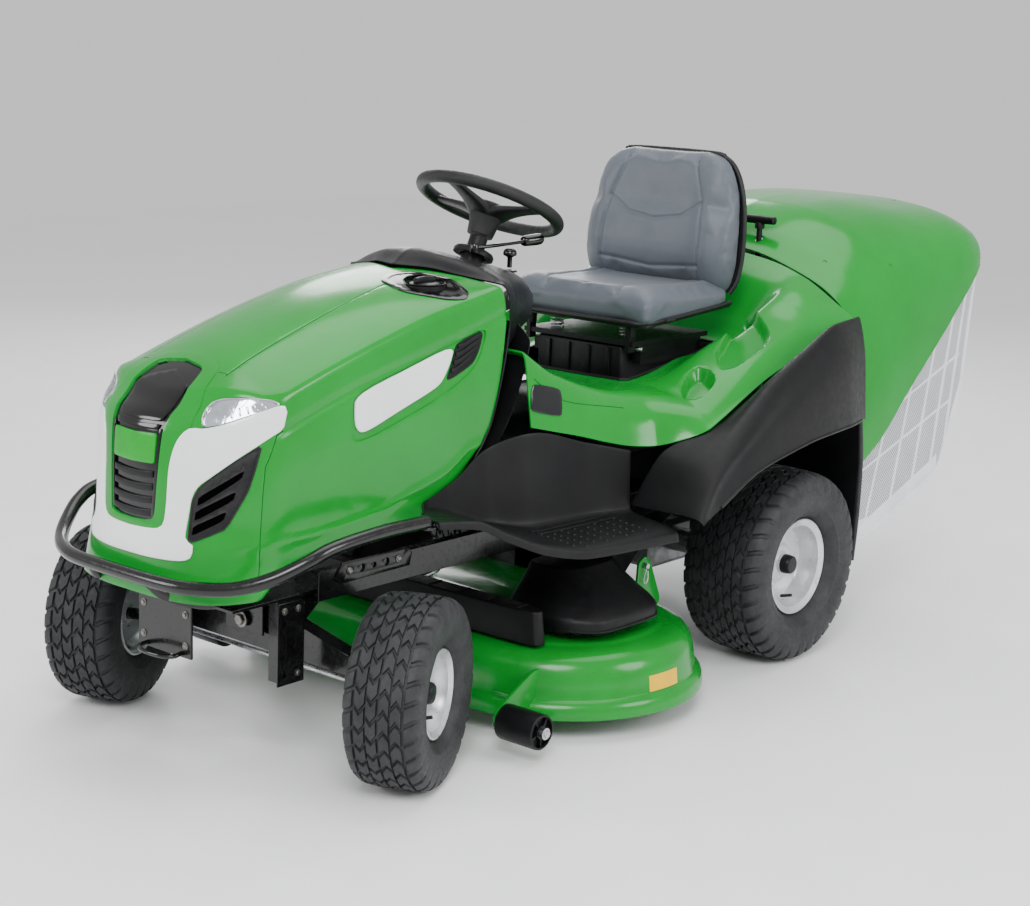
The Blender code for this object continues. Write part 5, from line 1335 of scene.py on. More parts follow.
def fenders():
    rows = []
    for y in FENDER_ROWS:
        inner_x = float(np.interp(y, (-0.128, -0.055, 0.04), (0.345, 0.378, 0.4435)))
        inner_z = float(np.interp(y, (-0.128, -0.055, 0.04, 0.252, 0.614), (0.428, 0.545, 0.591, 0.678,
                0.782)))
        top = float(np.interp(y, (-0.132, -0.059, 0.162, 0.404, 0.511, 0.60), (0.426, 0.520, 0.673, 0.775,
                0.804, 0.800)))
        arch = min(float(np.interp(y, (-0.18, 0.079, 0.282, 0.503, 0.60), (0.396, 0.507, 0.547, 0.555,
                0.555))), top - 0.012)
        drawn_in = float(smooth(y, (0.30, 0.46, 0.60), (0.0, 0.010, 0.040)))
        rows.append([(inner_x, y, inner_z), (0.486 - 0.5 * drawn_in, y, top), (0.530 - drawn_in, y,
                (2.0 * top + arch) / 3.0), (0.545 - drawn_in, y, arch)])
    fine = resampled(rows, 91, 46, FENDER_ROWS, (0.0, 0.45, 0.72, 1.0))
    for label, side in SIDES:
        data = grid_mesh([[(side * x, y, z) for x, y, z in row] for row in fine.tolist()])
        outward(data)
        tree = tree_of(data)
        shell = thickened(data, 0.004)
        piece(f"fender_{label}_cover", beveled(shell, 0.0016, 3, 50.0), "black", "chassis",
              (f"fender_{label}",), 50.0)
        lip = [(side * x, y, z) for x, y, z in (tuple(row[-1]) for row in fine.tolist()[8:-2])]
        piece(f"fender_{label}_lip",
              tube([Vector(p) + Vector((-side * 0.002, 0, 0.001)) for p in lip[::3]], 0.0042, 10),
              "black", "chassis", ())
        board = resampled([[(x, y, z) for x, z in row] for y, *row in BOARD], 81, 61,
                          [row[0] for row in BOARD], (0.0, 0.35, 0.94, 1.0))
        data = grid_mesh([[(side * x, y, z) for x, y, z in row] for row in board.tolist()])
        outward(data)
        tree = tree_of(data)
        shell = thickened(data, 0.0045)
        piece(f"footboard_{label}_tray", beveled(shell, 0.0012, 2, 50.0), "black", "chassis",
              (f"footboard_{label}",), 50.0)
        studs = []
        for row in range(8):
            for column in range(6):
                x = 0.352 + 0.0175 * column + 0.00875 * (row % 2)
                y = -0.445 + 0.034 * row
                if x > 0.455:
                    continue
                hit, normal, _, _ = tree.ray_cast(Vector((side * x, y, 1.0)), DOWN)
                if hit is not None and normal.z > 0.9:
                    studs.append(dome(hit, 0.0048, 0.0026, normal, 12))
        for x in (0.330, 0.347):
            line = []
            for y in np.linspace(-0.455, -0.19, 16):
                hit = tree.ray_cast(Vector((side * (x + 0.05 * (y + 0.455)), y, 1.0)), DOWN)[0]
                if hit is not None:
                    line.append(hit + Vector((0, 0, 0.0006)))
            studs.append(tube(line, 0.0022, 8))
        piece(f"footboard_{label}_tread", joined(studs), "black", "chassis", (), 60.0)


def rear_panel():
    half = [(0.0, 0.915), (0.20, 0.890), (0.30, 0.856), (0.385, 0.812), (0.440, 0.775), (0.462, 0.69),
            (0.470, 0.57), (0.483, 0.44), (0.478, 0.225), (0.42, 0.165), (0.30, 0.157), (0.0, 0.157)]
    outline = half[:-1] + [(-x, z) for x, z in reversed(half[1:-1])]
    panel = prism(outline, "Y", 0.6225, 0.6335, 0.0)
    panel = boolean(panel, [rounded_box((-0.19, 0.60, 0.43), (0.19, 0.70, 0.66), 0.01)])
    piece("rear_panel_plate", beveled(panel, 0.0022, 3), "black", "chassis", ("rear_panel",),
          40.0)
    for label, side in SIDES:
        path = spline([(side * 0.478, 0.628, 0.19), (side * 0.4835, 0.628, 0.30), (side * 0.4835, 0.628,
                0.44), (side * 0.470, 0.628, 0.57), (side * 0.455, 0.628, 0.64)], 6)
        piece(f"rear_panel_seal_{label}", tube(path, 0.0065, 12), "rubber", "chassis", ())


# Seat
PAD_VOXEL = 0.0055
PAD_PRESSURE = 4.0
PAD_FRAMES = 20


def simulated(data, cap, kept_axes):
    """A padded form: remeshed evenly, blown up as cloth, held within `cap` of where it began."""
    made = temporary(data)
    made.name = "pad"
    modifier = made.modifiers.new("remesh", "REMESH")
    modifier.mode = "VOXEL"
    modifier.voxel_size = PAD_VOXEL
    bake(made)
    start = np.array([vertex.co[:] for vertex in made.data.vertices])
    cloth = made.modifiers.new("cloth", "CLOTH")
    cloth.settings.quality = 5
    cloth.settings.mass = 0.3
    cloth.settings.use_pressure = True
    cloth.settings.uniform_pressure_force = PAD_PRESSURE
    cloth.settings.tension_stiffness = 15.0
    cloth.settings.compression_stiffness = 15.0
    cloth.settings.bending_stiffness = 0.5
    cloth.settings.effector_weights.gravity = 0.0
    cloth.collision_settings.use_collision = False
    cloth.point_cache.frame_start = 1
    cloth.point_cache.frame_end = PAD_FRAMES
    for number in range(1, PAD_FRAMES + 1):
        bpy.context.scene.frame_set(number)
    bake(made)
    bpy.context.scene.frame_set(1)
    moved = np.array([vertex.co[:] for vertex in made.data.vertices]) - start
    length = np.linalg.norm(moved, axis=1)
    moved *= np.minimum(1.0, cap / np.maximum(length, 1e-9))[:, None]
    placed = start + moved
    for axis in kept_axes:
        span = (placed[:, axis].min(), placed[:, axis].max())
        placed[:, axis] = np.interp(placed[:, axis], span, (start[:, axis].min(), start[:, axis].max()))
    made.data.vertices.foreach_set("co", placed.ravel())
    made.data.update()
    relaxed = made.modifiers.new("relax", "SMOOTH")
    relaxed.factor = 0.5
    relaxed.iterations = 5
    made.modifiers.new("fine", "SUBSURF").levels = 1
    return taken(made)


def channel(data, path, width, depth, keep, toward):
    """Presses a sewn line into a pad. keep picks the two axes the path is drawn in."""
    data.normal_update()
    lines = [Vector((p[0], p[1])) for p in path]
    for vertex in data.verts:
        if vertex.normal.dot(toward) < 0.15:
            continue
        point = Vector((vertex.co[keep[0]], vertex.co[keep[1]]))
        near = 1e9
        for p, q in zip(lines, lines[1:]):
            along = q - p
            t = max(0.0, min(1.0, (point - p).dot(along) / max(along.length_squared, 1e-12)))
            near = min(near, (p + along * t - point).length)
        if near < width * 2.5:
            vertex.co -= toward * depth * math.exp(-(near / width) ** 2)
    return data


PAN = ((0.078, 0.198, 0.804, 0.836), (0.088, 0.210, 0.795, 0.852), (0.115, 0.214, 0.794, 0.861),
       (0.20, 0.216, 0.797, 0.852), (0.30, 0.216, 0.806, 0.848), (0.37, 0.214, 0.812, 0.852),
       (0.412, 0.206, 0.822, 0.858))
BACK = ((0.842, 0.200, 0.400, 0.446), (0.872, 0.212, 0.389, 0.458), (0.930, 0.217, 0.388, 0.468),
        (1.000, 0.216, 0.396, 0.472), (1.060, 0.210, 0.402, 0.474), (1.110, 0.196, 0.407, 0.476),
        (1.146, 0.174, 0.413, 0.478), (1.164, 0.150, 0.420, 0.476), (1.174, 0.115, 0.430, 0.472))
TOWARD_FRONT = Vector((0.0, -1.0, 0.0))


def row_at(table, share):
    """The row at a share of a table's length, smoothly between the given ones."""
    at = share * (len(table) - 1)
    return [float(smooth(at, range(len(table)), [row[n] for row in table])) for n in range(len(table[0]))]


def seat():
    sections = []
    for k in range(25):
        y, half, low, high = row_at(PAN, k / 24.0)
        sections.append((Vector((0.0, y, (low + high) / 2.0)), Vector((half, 0.0, 0.0)),
                         Vector((0.0, 0.0, (high - low) / 2.0))))
    pan = loft(sections, 64, 0.42, square=-1.0)
    for vertex in pan.verts:
        if vertex.co.z > 0.83:
            vertex.co.z += 0.012 * smooth(abs(vertex.co.x), (0.0, 0.10, 0.165, 0.205),
                                          (0.0, 0.1, 1.0, 0.4)) * smooth(vertex.co.y, (0.08, 0.16, 0.40),
                    (0.0, 1.0, 0.8))
    pan = simulated(pan, 0.012, (0, 1))
    for sign in BOTH:
        channel(pan, [(sign * 0.150, 0.385), (sign * 0.148, 0.250), (sign * 0.128, 0.150),
                      (sign * 0.105, 0.105)], 0.0040, 0.0045, (0, 1), Vector((0, 0, 1)))
    channel(pan, [(-0.105, 0.128), (0.0, 0.118), (0.105, 0.128)], 0.0040, 0.0035, (0, 1),
            Vector((0, 0, 1)))
    made = piece("seat_pan", pan, "vinyl", "seat", ("seat_cushion",), 60.0)
    sections = []
    for k in range(29):
        z, half, front, rear = row_at(BACK, k / 28.0)
        sections.append((Vector((0.0, (front + rear) / 2.0 - 0.006, z)), Vector((half, 0.0, 0.0)),
                         Vector((0.0, (rear - front) / 2.0 - 0.006, 0.0))))
    back = loft(sections, 64, 0.42, square=1.0)
    for vertex in back.verts:
        if vertex.co.y < 0.43:
            vertex.co.y -= 0.014 * smooth(abs(vertex.co.x), (0.0, 0.10, 0.165, 0.205),
                                          (0.0, 0.1, 1.0, 0.3)) * smooth(vertex.co.z, (0.85, 0.90, 1.05,
                    1.16), (0.6, 1.0, 0.9, 0.2))
            vertex.co.y -= 0.010 * smooth(vertex.co.z, (0.85, 0.93, 1.00, 1.05), (0.0, 1.0, 0.9, 0.0))
    back = simulated(back, 0.011, (0, 2))
    for sign in BOTH:
        channel(back, [(sign * 0.145, 0.868), (sign * 0.146, 0.98), (sign * 0.136, 1.06),
                       (sign * 0.104, 1.148)], 0.0040, 0.0050, (0, 2), TOWARD_FRONT)
    channel(back, [(-0.136, 1.055), (-0.08, 1.020), (0.0, 1.008), (0.08, 1.020), (0.136, 1.055)], 0.0045,
            0.0030, (0, 2), TOWARD_FRONT)
    channel(back, [(-0.145, 0.905), (0.0, 0.892), (0.145, 0.905)], 0.0050, 0.0045, (0, 2), TOWARD_FRONT)
    made = piece("seat_back", back, "vinyl", "seat", ("seat_cushion",), 60.0)
    outline = [(half + 0.001, rear - 0.017, z - 0.003) for z, half, _, rear in BACK]
    edge = [(-x, y, z) for x, y, z in outline] + [(x, y, z) for x, y, z in reversed(outline)]
    trim = tube(spline(edge, 5), 0.0065, 14)
    shell_rows = []
    for k in range(25):
        z, half, _, rear = row_at(BACK, k / 24.0)
        shell_rows.append([(0.99 * half * s, rear + 0.002 - 0.018 * abs(s) ** 5.0,
                            z) for s in np.linspace(-1, 1, 31)])
    shell = grid_mesh(shell_rows)
    outward(shell, 1)
    shell = beveled(thickened(shell, 0.006), 0.002, 2)
    base = [(0.0, 0.078), (0.150, 0.079), (0.185, 0.088), (0.203, 0.115), (0.210, 0.200), (0.212, 0.340),
            (0.208, 0.425)]
    path = [(-x, y, 0.794 + 0.075 * max(0.0, y - 0.10)) for x, y in reversed(base[1:])] + [(x, y,
            0.794 + 0.075 * max(0.0, y - 0.10)) for x, y in base]
    strip = tube(spline(path, 5), 0.0062, 14)
    floor = prism([(-0.205, 0.095), (-0.150, 0.084), (0.150, 0.084), (0.205, 0.095), (0.207, 0.430),
                   (-0.207, 0.430)], "Z", 0.783, 0.791, 0.002)
    for vertex in floor.verts:
        vertex.co.z += 0.075 * max(0.0, vertex.co.y - 0.10)
    hinge = [rounded_box((s * 0.15 - 0.010, 0.097, 0.757), (s * 0.15 + 0.010, 0.116, 0.800),
                         0.002) for s in BOTH]
    tab = prism([(0.205, 0.150), (0.222, 0.156), (0.224, 0.182), (0.205, 0.190)], "Z", 0.796, 0.802,
                0.0015)
    piece("seat_shell", joined([trim, shell, strip, floor, tab] + hinge), "piping", "seat",
          ("seat_cushion",), 40.0)
    dress("seat_carriage", "black", 0.0015)
    bar = rod((-0.171, 0.132, 0.7265), (0.171, 0.132, 0.7265), 0.0068, 20)
    springs = []
    for sign in BOTH:
        turns = [Vector((sign * 0.105 + 0.015 * math.cos(a), 0.150 + 0.015 * math.sin(a),
                         0.7485 + a * 0.0012)) for a in np.linspace(0, 30.0, 110)]
        springs.append(tube(turns, 0.0021, 8))
    piece("seat_bar", joined([bar] + springs), "steel", "seat_carriage", (), 50.0)


# Grass catcher
LID = [
    [(0.0, 0.6365, 0.940), (0.13, 0.6365, 0.925), (0.254, 0.6365, 0.889), (0.352, 0.6365, 0.845),
     (0.408, 0.6365, 0.795), (0.452, 0.6365, 0.66), (0.472, 0.6365, 0.566), (0.483, 0.6365, 0.435)],
    [(0.0, 0.72, 0.990), (0.13, 0.72, 0.982), (0.258, 0.72, 0.940), (0.355, 0.72, 0.885),
     (0.412, 0.72, 0.828), (0.452, 0.72, 0.70), (0.470, 0.72, 0.600), (0.480, 0.72, 0.478)],
    [(0.0, 0.85, 1.036), (0.13, 0.85, 1.030), (0.262, 0.85, 0.995), (0.358, 0.85, 0.935),
     (0.414, 0.85, 0.868), (0.449, 0.85, 0.77), (0.464, 0.85, 0.680), (0.472, 0.85, 0.575)],
    [(0.0, 1.05, 1.046), (0.13, 1.05, 1.043), (0.262, 1.05, 1.022), (0.358, 1.05, 0.980),
     (0.414, 1.05, 0.925), (0.444, 1.05, 0.85), (0.456, 1.05, 0.790), (0.462, 1.05, 0.722)],
    [(0.0, 1.22, 1.040), (0.13, 1.22, 1.038), (0.258, 1.22, 1.024), (0.352, 1.22, 0.998),
     (0.410, 1.22, 0.962), (0.436, 1.22, 0.92), (0.446, 1.22, 0.885), (0.450, 1.22, 0.852)],
    [(0.0, 1.305, 1.010), (0.13, 1.304, 1.008), (0.256, 1.300, 0.998), (0.348, 1.292, 0.978),
     (0.402, 1.285, 0.950), (0.426, 1.275, 0.922), (0.434, 1.268, 0.900), (0.438, 1.262, 0.880)],
    [(0.0, 1.310, 0.890), (0.13, 1.309, 0.890), (0.256, 1.306, 0.889), (0.346, 1.300, 0.888),
     (0.396, 1.292, 0.887), (0.418, 1.282, 0.886), (0.426, 1.274, 0.885), (0.430, 1.266, 0.878)],
]


def catcher_lid():
    rows = resampled(LID, 121, 81, (0.0, 0.085, 0.215, 0.415, 0.585, 0.68, 0.79), (0.0, 0.13, 0.26, 0.37,
            0.45, 0.58, 0.68, 0.80))
    data = grid_mesh(full_rows(rows.tolist()))
    outward(data)
    tree = tree_of(data)
    shell = thickened(data, 0.0042)
    cutters = [rod((side * 0.12, 0.672, 0.85), (side * 0.12, 0.672, 1.02), 0.010, 24) for side in BOTH]
    for x, y in ((0.30, 0.70), (0.395, 0.86), (0.20, 1.20)):
        for side in BOTH:
            hit, normal, _, _ = tree.ray_cast(Vector((side * x, y, 1.4)), DOWN)
            cutters.append(rod(hit - normal * 0.0020, hit + normal * 0.02, 0.0055, 24))
    shell = boolean(shell, cutters)
    piece("catcher_lid_cover", beveled(shell, 0.0015, 3, 40.0), "green", "catcher", ("catcher_lid",),
          40.0)


def perforated():
    made = surface("perforated_panel", (0.62, 0.64, 0.67), (0.70, 0.72, 0.75), (0.40, 0.52), 10.0)
    tree = made.node_tree
    shader = tree.nodes["Principled BSDF"]
    ramp = next(n for n in tree.nodes if n.bl_idname == "ShaderNodeValToRGB")
    place = next(n for n in tree.nodes if n.bl_idname == "ShaderNodeTexCoord").outputs["Object"]
    split = tree.nodes.new("ShaderNodeSeparateXYZ")
    tree.links.new(place, split.inputs[0])

    def calc(operation, first, second=None, value=None):
        made_node = tree.nodes.new("ShaderNodeMath")
        made_node.operation = operation
        tree.links.new(first, made_node.inputs[0])
        if second is not None:
            tree.links.new(second, made_node.inputs[1])
        if value is not None:
            made_node.inputs[1].default_value = value
        return made_node.outputs[0]

    # The holes are not cut: dots on a grid are painted near-black as painted shade of the catcher's inside
    # seen through them, and the bump sinks them
    along = calc("ADD", split.outputs["X"], split.outputs["Y"])
    wave_u = calc("SINE", calc("MULTIPLY", along, value=2.0 * math.pi / 0.0095))
    wave_v = calc("SINE", calc("MULTIPLY", split.outputs["Z"], value=2.0 * math.pi / 0.0095))
    holes = calc("MULTIPLY", wave_u, wave_v)
    mask = tree.nodes.new("ShaderNodeMapRange")
    mask.inputs["From Min"].default_value = 0.08
    mask.inputs["From Max"].default_value = 0.26
    tree.links.new(holes, mask.inputs["Value"])
    mix = tree.nodes.new("ShaderNodeMix")
    mix.data_type = "RGBA"
    tree.links.new(mask.outputs["Result"], mix.inputs["Factor"])
    tree.links.new(ramp.outputs["Color"], mix.inputs[6])
    # painted shade: the colour of the dots where the holes are
    mix.inputs[7].default_value = (0.07, 0.073, 0.080, 1.0)
    tree.links.new(mix.outputs[2], shader.inputs["Base Color"])
    relief = node(tree, "ShaderNodeBump", Strength=0.8, Distance=0.0012)
    relief.invert = True
    tree.links.new(mask.outputs["Result"], relief.inputs["Height"])
    tree.links.new(relief.outputs["Normal"], shader.inputs["Normal"])
    return made


SIDE_PROFILE = [(0.700, 0.420), (0.722, 0.227), (0.775, 0.213), (1.138, 0.334), (1.228, 0.555),
                (1.262, 0.862)]


def basket():
    M["perforated"] = perforated()
    profile = [SIDE_PROFILE[0], (0.716, 0.262), (0.722, 0.236), (0.735, 0.217), (0.758, 0.211),
               (0.785, 0.215), (1.110, 0.324), (1.134, 0.336), (1.148, 0.358), (1.222, 0.540),
               (1.231, 0.570), (1.262, 0.862)]
    parts = [prism(profile, "X", side * 0.4215 - 0.0017, side * 0.4215 + 0.0017, 0.0) for side in BOTH]
    rear = thickened(grid_mesh([[(x, y, z) for x in np.linspace(-0.4215, 0.4215, 9)] for y,
                                z in profile[1:]]), 0.0034)
    parts.append(rear)
    piece("basket_panels", joined(parts), "perforated", "catcher", ("catcher_basket",),
          30.0)
    ribs = []
    outline = [Vector((0.0, y, z)) for y, z in profile]
    for side in BOTH:
        x = side * 0.4240
        ribs.append(tube([Vector((x, p.y, p.z)) for p in outline], 0.0052, 10))
        for top, low in (((0.860, 0.555), (0.765, 0.222)), ((0.975, 0.640), (0.885, 0.250)),
                         ((1.080, 0.715), (0.995, 0.288)), ((1.165, 0.780), (1.090, 0.320)),
                         ((1.225, 0.845), (1.165, 0.410))):
            start, end = Vector((x, *top)), Vector((x, *low))
            ribs.append(loft([(start.lerp(end, s), Vector((0.0, 0.0058, 0.0)),
                               Vector((0.0022, 0.0, 0.0))) for s in (0.0, 0.5, 1.0)], 12, 0.6))
        for level in (0.085, 0.19):
            a = Vector((x, 0.712 + level * 0.10, 0.300 + level))
            b = Vector((x, 1.165 + level * 0.25, 0.425 + level * 1.15))
            ribs.append(loft([(a.lerp(b, s), Vector((0.0, 0.0, 0.0042)),
                               Vector((0.0018, 0.0, 0.0))) for s in (0.0, 0.5, 1.0)], 12, 0.6))
        band = [(0.722, 0.236), (0.735, 0.217), (0.758, 0.2105), (0.785, 0.2145), (1.110, 0.3235),
                (1.134, 0.3355), (1.128, 0.380), (1.095, 0.365), (0.790, 0.262), (0.722, 0.262)]
        ribs.append(prism(band, "X", x - 0.0016, x + 0.0016, 0.0012))
    for x in np.linspace(-0.36, 0.36, 9):
        line = [Vector((x, p.y + 0.0022, p.z - 0.0006)) for p in outline[6:]]
        ribs.append(tube(line, 0.0042, 8))
    for share in (0.25, 0.5, 0.75):
        p = outline[9].lerp(outline[11], share)
        ribs.append(tube([Vector((-0.42, p.y + 0.002, p.z)), Vector((0.42, p.y + 0.002, p.z))], 0.0034,
                         8))
    piece("basket_ribs", joined(ribs), "mesh_grey", "catcher", (), 35.0)
    grip = loft([(Vector((x, 0.672, 1.000 + 0.0)), Vector((0.0, r, 0.0)),
                  Vector((0.0, 0.0, r * 0.92))) for x, r in ((-0.166, 0.006), (-0.163, 0.0105),
            (-0.12, 0.0118), (-0.05, 0.0112), (0.0, 0.0115), (0.05, 0.0112), (0.12, 0.0118),
            (0.163, 0.0105), (0.166, 0.006))], 24, 0.85)
    posts = [rod((side * 0.12, 0.672, 0.72), (side * 0.12, 0.672, 0.995), 0.0072, 24) for side in BOTH]
    collars = [lathe([(0.0, 0.978), (0.0125, 0.978), (0.0125, 0.990), (0.0105, 0.994), (0.0, 0.994)], 24,
                     None, (side * 0.12, 0.672, 0.0)) for side in BOTH]
    piece("catcher_pull_bar", joined([grip] + posts + collars), "black", "catcher_handle",
          ("catcher_handle",), 40.0)


# Cutting deck
SPINDLE_X, SPINDLE_Y = 0.265, -0.26
DECK_LEVELS = [(0.3215, 0.0500), (0.3220, 0.0560), (0.3205, 0.0700), (0.3175, 0.0790), (0.3110, 0.0855),
               (0.3050, 0.0895), (0.3025, 0.0960), (0.3005, 0.1150), (0.2975, 0.1350), (0.2920, 0.1530),
               (0.2820, 0.1670), (0.2660, 0.1760), (0.2500, 0.1800), (0.2300, 0.1815), (0.2220, 0.1825),
               (0.2170, 0.1850), (0.2110, 0.1858), (0.1800, 0.1862), (0.1500, 0.1862)]


ARC_STEPS = 48


def deck_ring(radius, z):
    half = [(0.0, SPINDLE_Y + radius, z)]
    half += [(0.06 * k, SPINDLE_Y + radius, z) for k in (1, 2, 3, 4)]
    for step in range(ARC_STEPS + 1):
        angle = math.radians(90.0 - 180.0 * step / ARC_STEPS)
        half.append((SPINDLE_X + radius * math.cos(angle), SPINDLE_Y + radius * math.sin(angle), z))
    half += [(0.06 * k, SPINDLE_Y - radius, z) for k in (4, 3, 2, 1)]
    half.append((0.0, SPINDLE_Y - radius, z))
    return half


def deck():
    half_rows = [deck_ring(radius, z) for radius, z in DECK_LEVELS]
    rows = [[(-x, y, z) for x, y, z in row[-2:0:-1]] + row for row in half_rows]
    data = grid_mesh(rows, closed_columns=True)
    close_rows(data, (len(rows) - 1,), len(rows[0]))
    outward(data)
    tree = tree_of(data)
    shell = thickened(data, 0.003)
    cutters = [rod((side * SPINDLE_X, SPINDLE_Y, 0.12), (side * SPINDLE_X, SPINDLE_Y, 0.25), 0.022,
                   32) for side in BOTH]
    cutters.append(rounded_box((-0.13, 0.02, 0.02), (0.13, 0.12, 0.165), 0.004))
    shell = boolean(shell, cutters)
    parts = [beveled(shell, 0.0009, 2, 40.0)]
    for side in BOTH:
        arm = rounded([(-0.648, 0.054), (-0.602, 0.054), (-0.522, 0.075), (-0.482, 0.112),
                       (-0.482, 0.150), (-0.530, 0.152), (-0.646, 0.090)], 2, 0.15)
        parts.append(upright(side, [tuple(p) for p in arm], 0.408, 0.416, 0.0012))
        parts.append(upright(side, [(-0.560, 0.085), (-0.535, 0.078), (-0.520, 0.083), (-0.520, 0.095),
                                    (-0.535, 0.092), (-0.560, 0.098)], 0.330, 0.415, 0.001))
        ring = [(0.130, 0.1855), (0.122, 0.1885), (0.112, 0.1885), (0.104, 0.1855)]
        parts.append(lathe(ring + [(0.104, 0.184), (0.130, 0.184)], 64, None, (side * SPINDLE_X,
                SPINDLE_Y, 0.0)))
        hanger = rounded([(-0.150, 0.186), (-0.050, 0.186), (-0.040, 0.205), (-0.085, 0.300),
                          (-0.105, 0.312), (-0.128, 0.300), (-0.130, 0.250)], 2, 0.12)
        parts.append(upright(side, [tuple(p) for p in hanger], 0.372, 0.378, 0.001))
    piece("deck_pan", joined(parts), "deck_green", "deck", ("deck_shell",), 34.0)
    for label, side in SIDES:
        sticker = patch(tree, [(side * 0.57, y, z) for y, z in ((-0.322, 0.092), (-0.322, 0.126),
                (-0.228, 0.126), (-0.228, 0.092))], Vector((-side * 0.97, 0.24, 0.0)), 0.0002, 0.0010,
                        0.010)
        piece(f"deck_label_{label}", sticker, "yellow", "deck", (), 40.0)
        steel = [rod((side * 0.412, -0.623, 0.067), (side * 0.528, -0.623, 0.067), 0.0072, 24)]
        steel.append(bolt((side * 0.5285, -0.623, 0.067), (side, 0, 0), 0.0085, 0.006))
        y = -0.108
        steel.append(rod((side * 0.366, y, 0.292), (side * 0.390, y, 0.292), 0.0065, 20))
        clip = ((0.386, y, 0.300), (0.386, y - 0.002, 0.284), (0.386, y - 0.010, 0.262),
                (0.387, y - 0.004, 0.252), (0.387, y + 0.004, 0.262), (0.386, y + 0.004, 0.280))
        steel.append(tube(spline([Vector(p) for p in on_side(side)(clip)], 5), 0.0014, 8))
        piece(f"deck_hardware_{label}", joined(steel), "steel", "deck", (), 40.0)
        centre = (side * SPINDLE_X, SPINDLE_Y, 0.0)
        body_ring = [(0.024, 0.1868), (0.108, 0.1868), (0.112, 0.1890), (0.112, 0.1940), (0.104, 0.1965),
                     (0.088, 0.1985), (0.084, 0.2060), (0.024, 0.2060)]
        housing = [lathe(body_ring, 64, None, centre)]
        for k in range(6):
            angle = math.radians(30.0 + 60.0 * k)
            at = Vector((side * SPINDLE_X + 0.098 * math.cos(angle), SPINDLE_Y + 0.098 * math.sin(angle),
                         0.194))
            housing.append(lathe([(0.0, -0.006), (0.015, -0.006), (0.014, 0.004), (0.0, 0.005)], 24, None,
                                 at))
            housing.append(bolt(at + Vector((0, 0, 0.0046)), (0, 0, 1), 0.0065, 0.005))
        piece(f"spindle_housing_{label}", joined(housing), "cast", "deck", (), 40.0)
        cover(label, side)
        roller(label, side)
    front = rounded([(-0.36, -0.442), (-0.398, -0.470), (-0.380, -0.503), (0.380, -0.503),
                     (0.398, -0.470), (0.36, -0.442)], 2, 0.15)
    data = prism([tuple(p) for p in front], "Z", 0.1880, 0.2610)
    for vertex in data.verts:
        if vertex.co.z > 0.25:
            vertex.co.x *= 0.975
            vertex.co.y = -0.4725 + (vertex.co.y + 0.4725) * 0.86
    ridges = [rounded_box((x - 0.004, -0.492, 0.2600), (x + 0.004, -0.453, 0.2632),
                          0.0012) for x in np.linspace(-0.33, 0.33, 9)]
    piece("deck_belt_guard", joined([beveled(data, 0.005, 3, 30.0)] + ridges), "black", "deck",
          ("deck_cover_front",), 40.0)


def cover(label, side):
    base = rounded([(0.217, -0.426), (0.398, -0.426), (0.473, -0.374), (0.473, -0.172), (0.398, -0.107),
                    (0.217, -0.107)], 2, 0.16)
    top = rounded([(0.237, -0.358), (0.328, -0.358), (0.363, -0.319), (0.363, -0.201), (0.328, -0.167),
                   (0.237, -0.167)], 2, 0.16)
    rings = []
    for z, share in ((0.2085, 0.0), (0.2250, 0.0), (0.2330, 0.02), (0.2400, 0.09), (0.2600, 0.36),
                     (0.2850, 0.66), (0.3080, 0.90), (0.3180, 0.975), (0.3215, 1.0)):
        rings.append([(side * a.lerp(b, share).x, a.lerp(b, share).y, z) for a, b in zip(base, top)])
    data = grid_mesh(rings, closed_columns=True)
    close_rows(data, (0, len(rings) - 1), len(rings[0]))
    bmesh.ops.recalc_face_normals(data, faces=data.faces[:])
    parts = [beveled(data, 0.004, 3, 30.0)]
    foot = [tuple((side * p.x, p.y)) for p in base]
    lip = prism([(x * 1.006, y) for x, y in foot], "Z", 0.2080, 0.2135, 0.0015)
    parts.append(lip)
    for x, y in ((0.235, -0.400), (0.235, -0.133), (0.452, -0.273)):
        parts.append(bolt((side * x, y, 0.2330), (0, 0, 1), 0.0070, 0.006))
    piece(f"deck_cover_{label}_shell", joined(parts), "black", "deck", (f"deck_cover_{label}",),
          35.0)


def roller(label, side):
    centre = Vector((side * 0.47, -0.623, 0.067))
    half = 0.049
    turn = Matrix.Rotation(side * math.pi / 2.0, 4, "Y")
    profile = [(0.0080, -half), (0.0340, -half), (0.0365, -half + 0.0015), (0.0373, -half + 0.005),
               (0.0373, half - 0.005), (0.0365, half - 0.0015), (0.0345, half), (0.0320, half),
               (0.0310, half - 0.010), (0.0145, half - 0.010), (0.0140, half - 0.001),
               (0.0080, half - 0.001)]
    parts = [lathe(profile, 56, turn, centre)]
    for k in range(5):
        angle = 2.0 * math.pi * k / 5.0
        rib = rounded_box((0.0130, -0.0016, half - 0.011), (0.0318, 0.0016, half - 0.0025), 0.0006)
        bmesh.ops.rotate(rib, verts=rib.verts[:], matrix=Matrix.Rotation(angle, 3, "Z"))
        bmesh.ops.transform(rib, matrix=Matrix.Translation(centre) @ turn, verts=rib.verts[:])
        parts.append(rib)
    piece(f"roller_{label}_wheel", joined(parts), "black", f"roller_{label}", (f"roller_{label}",),
          40.0)


# Chassis
ARM = 0.10


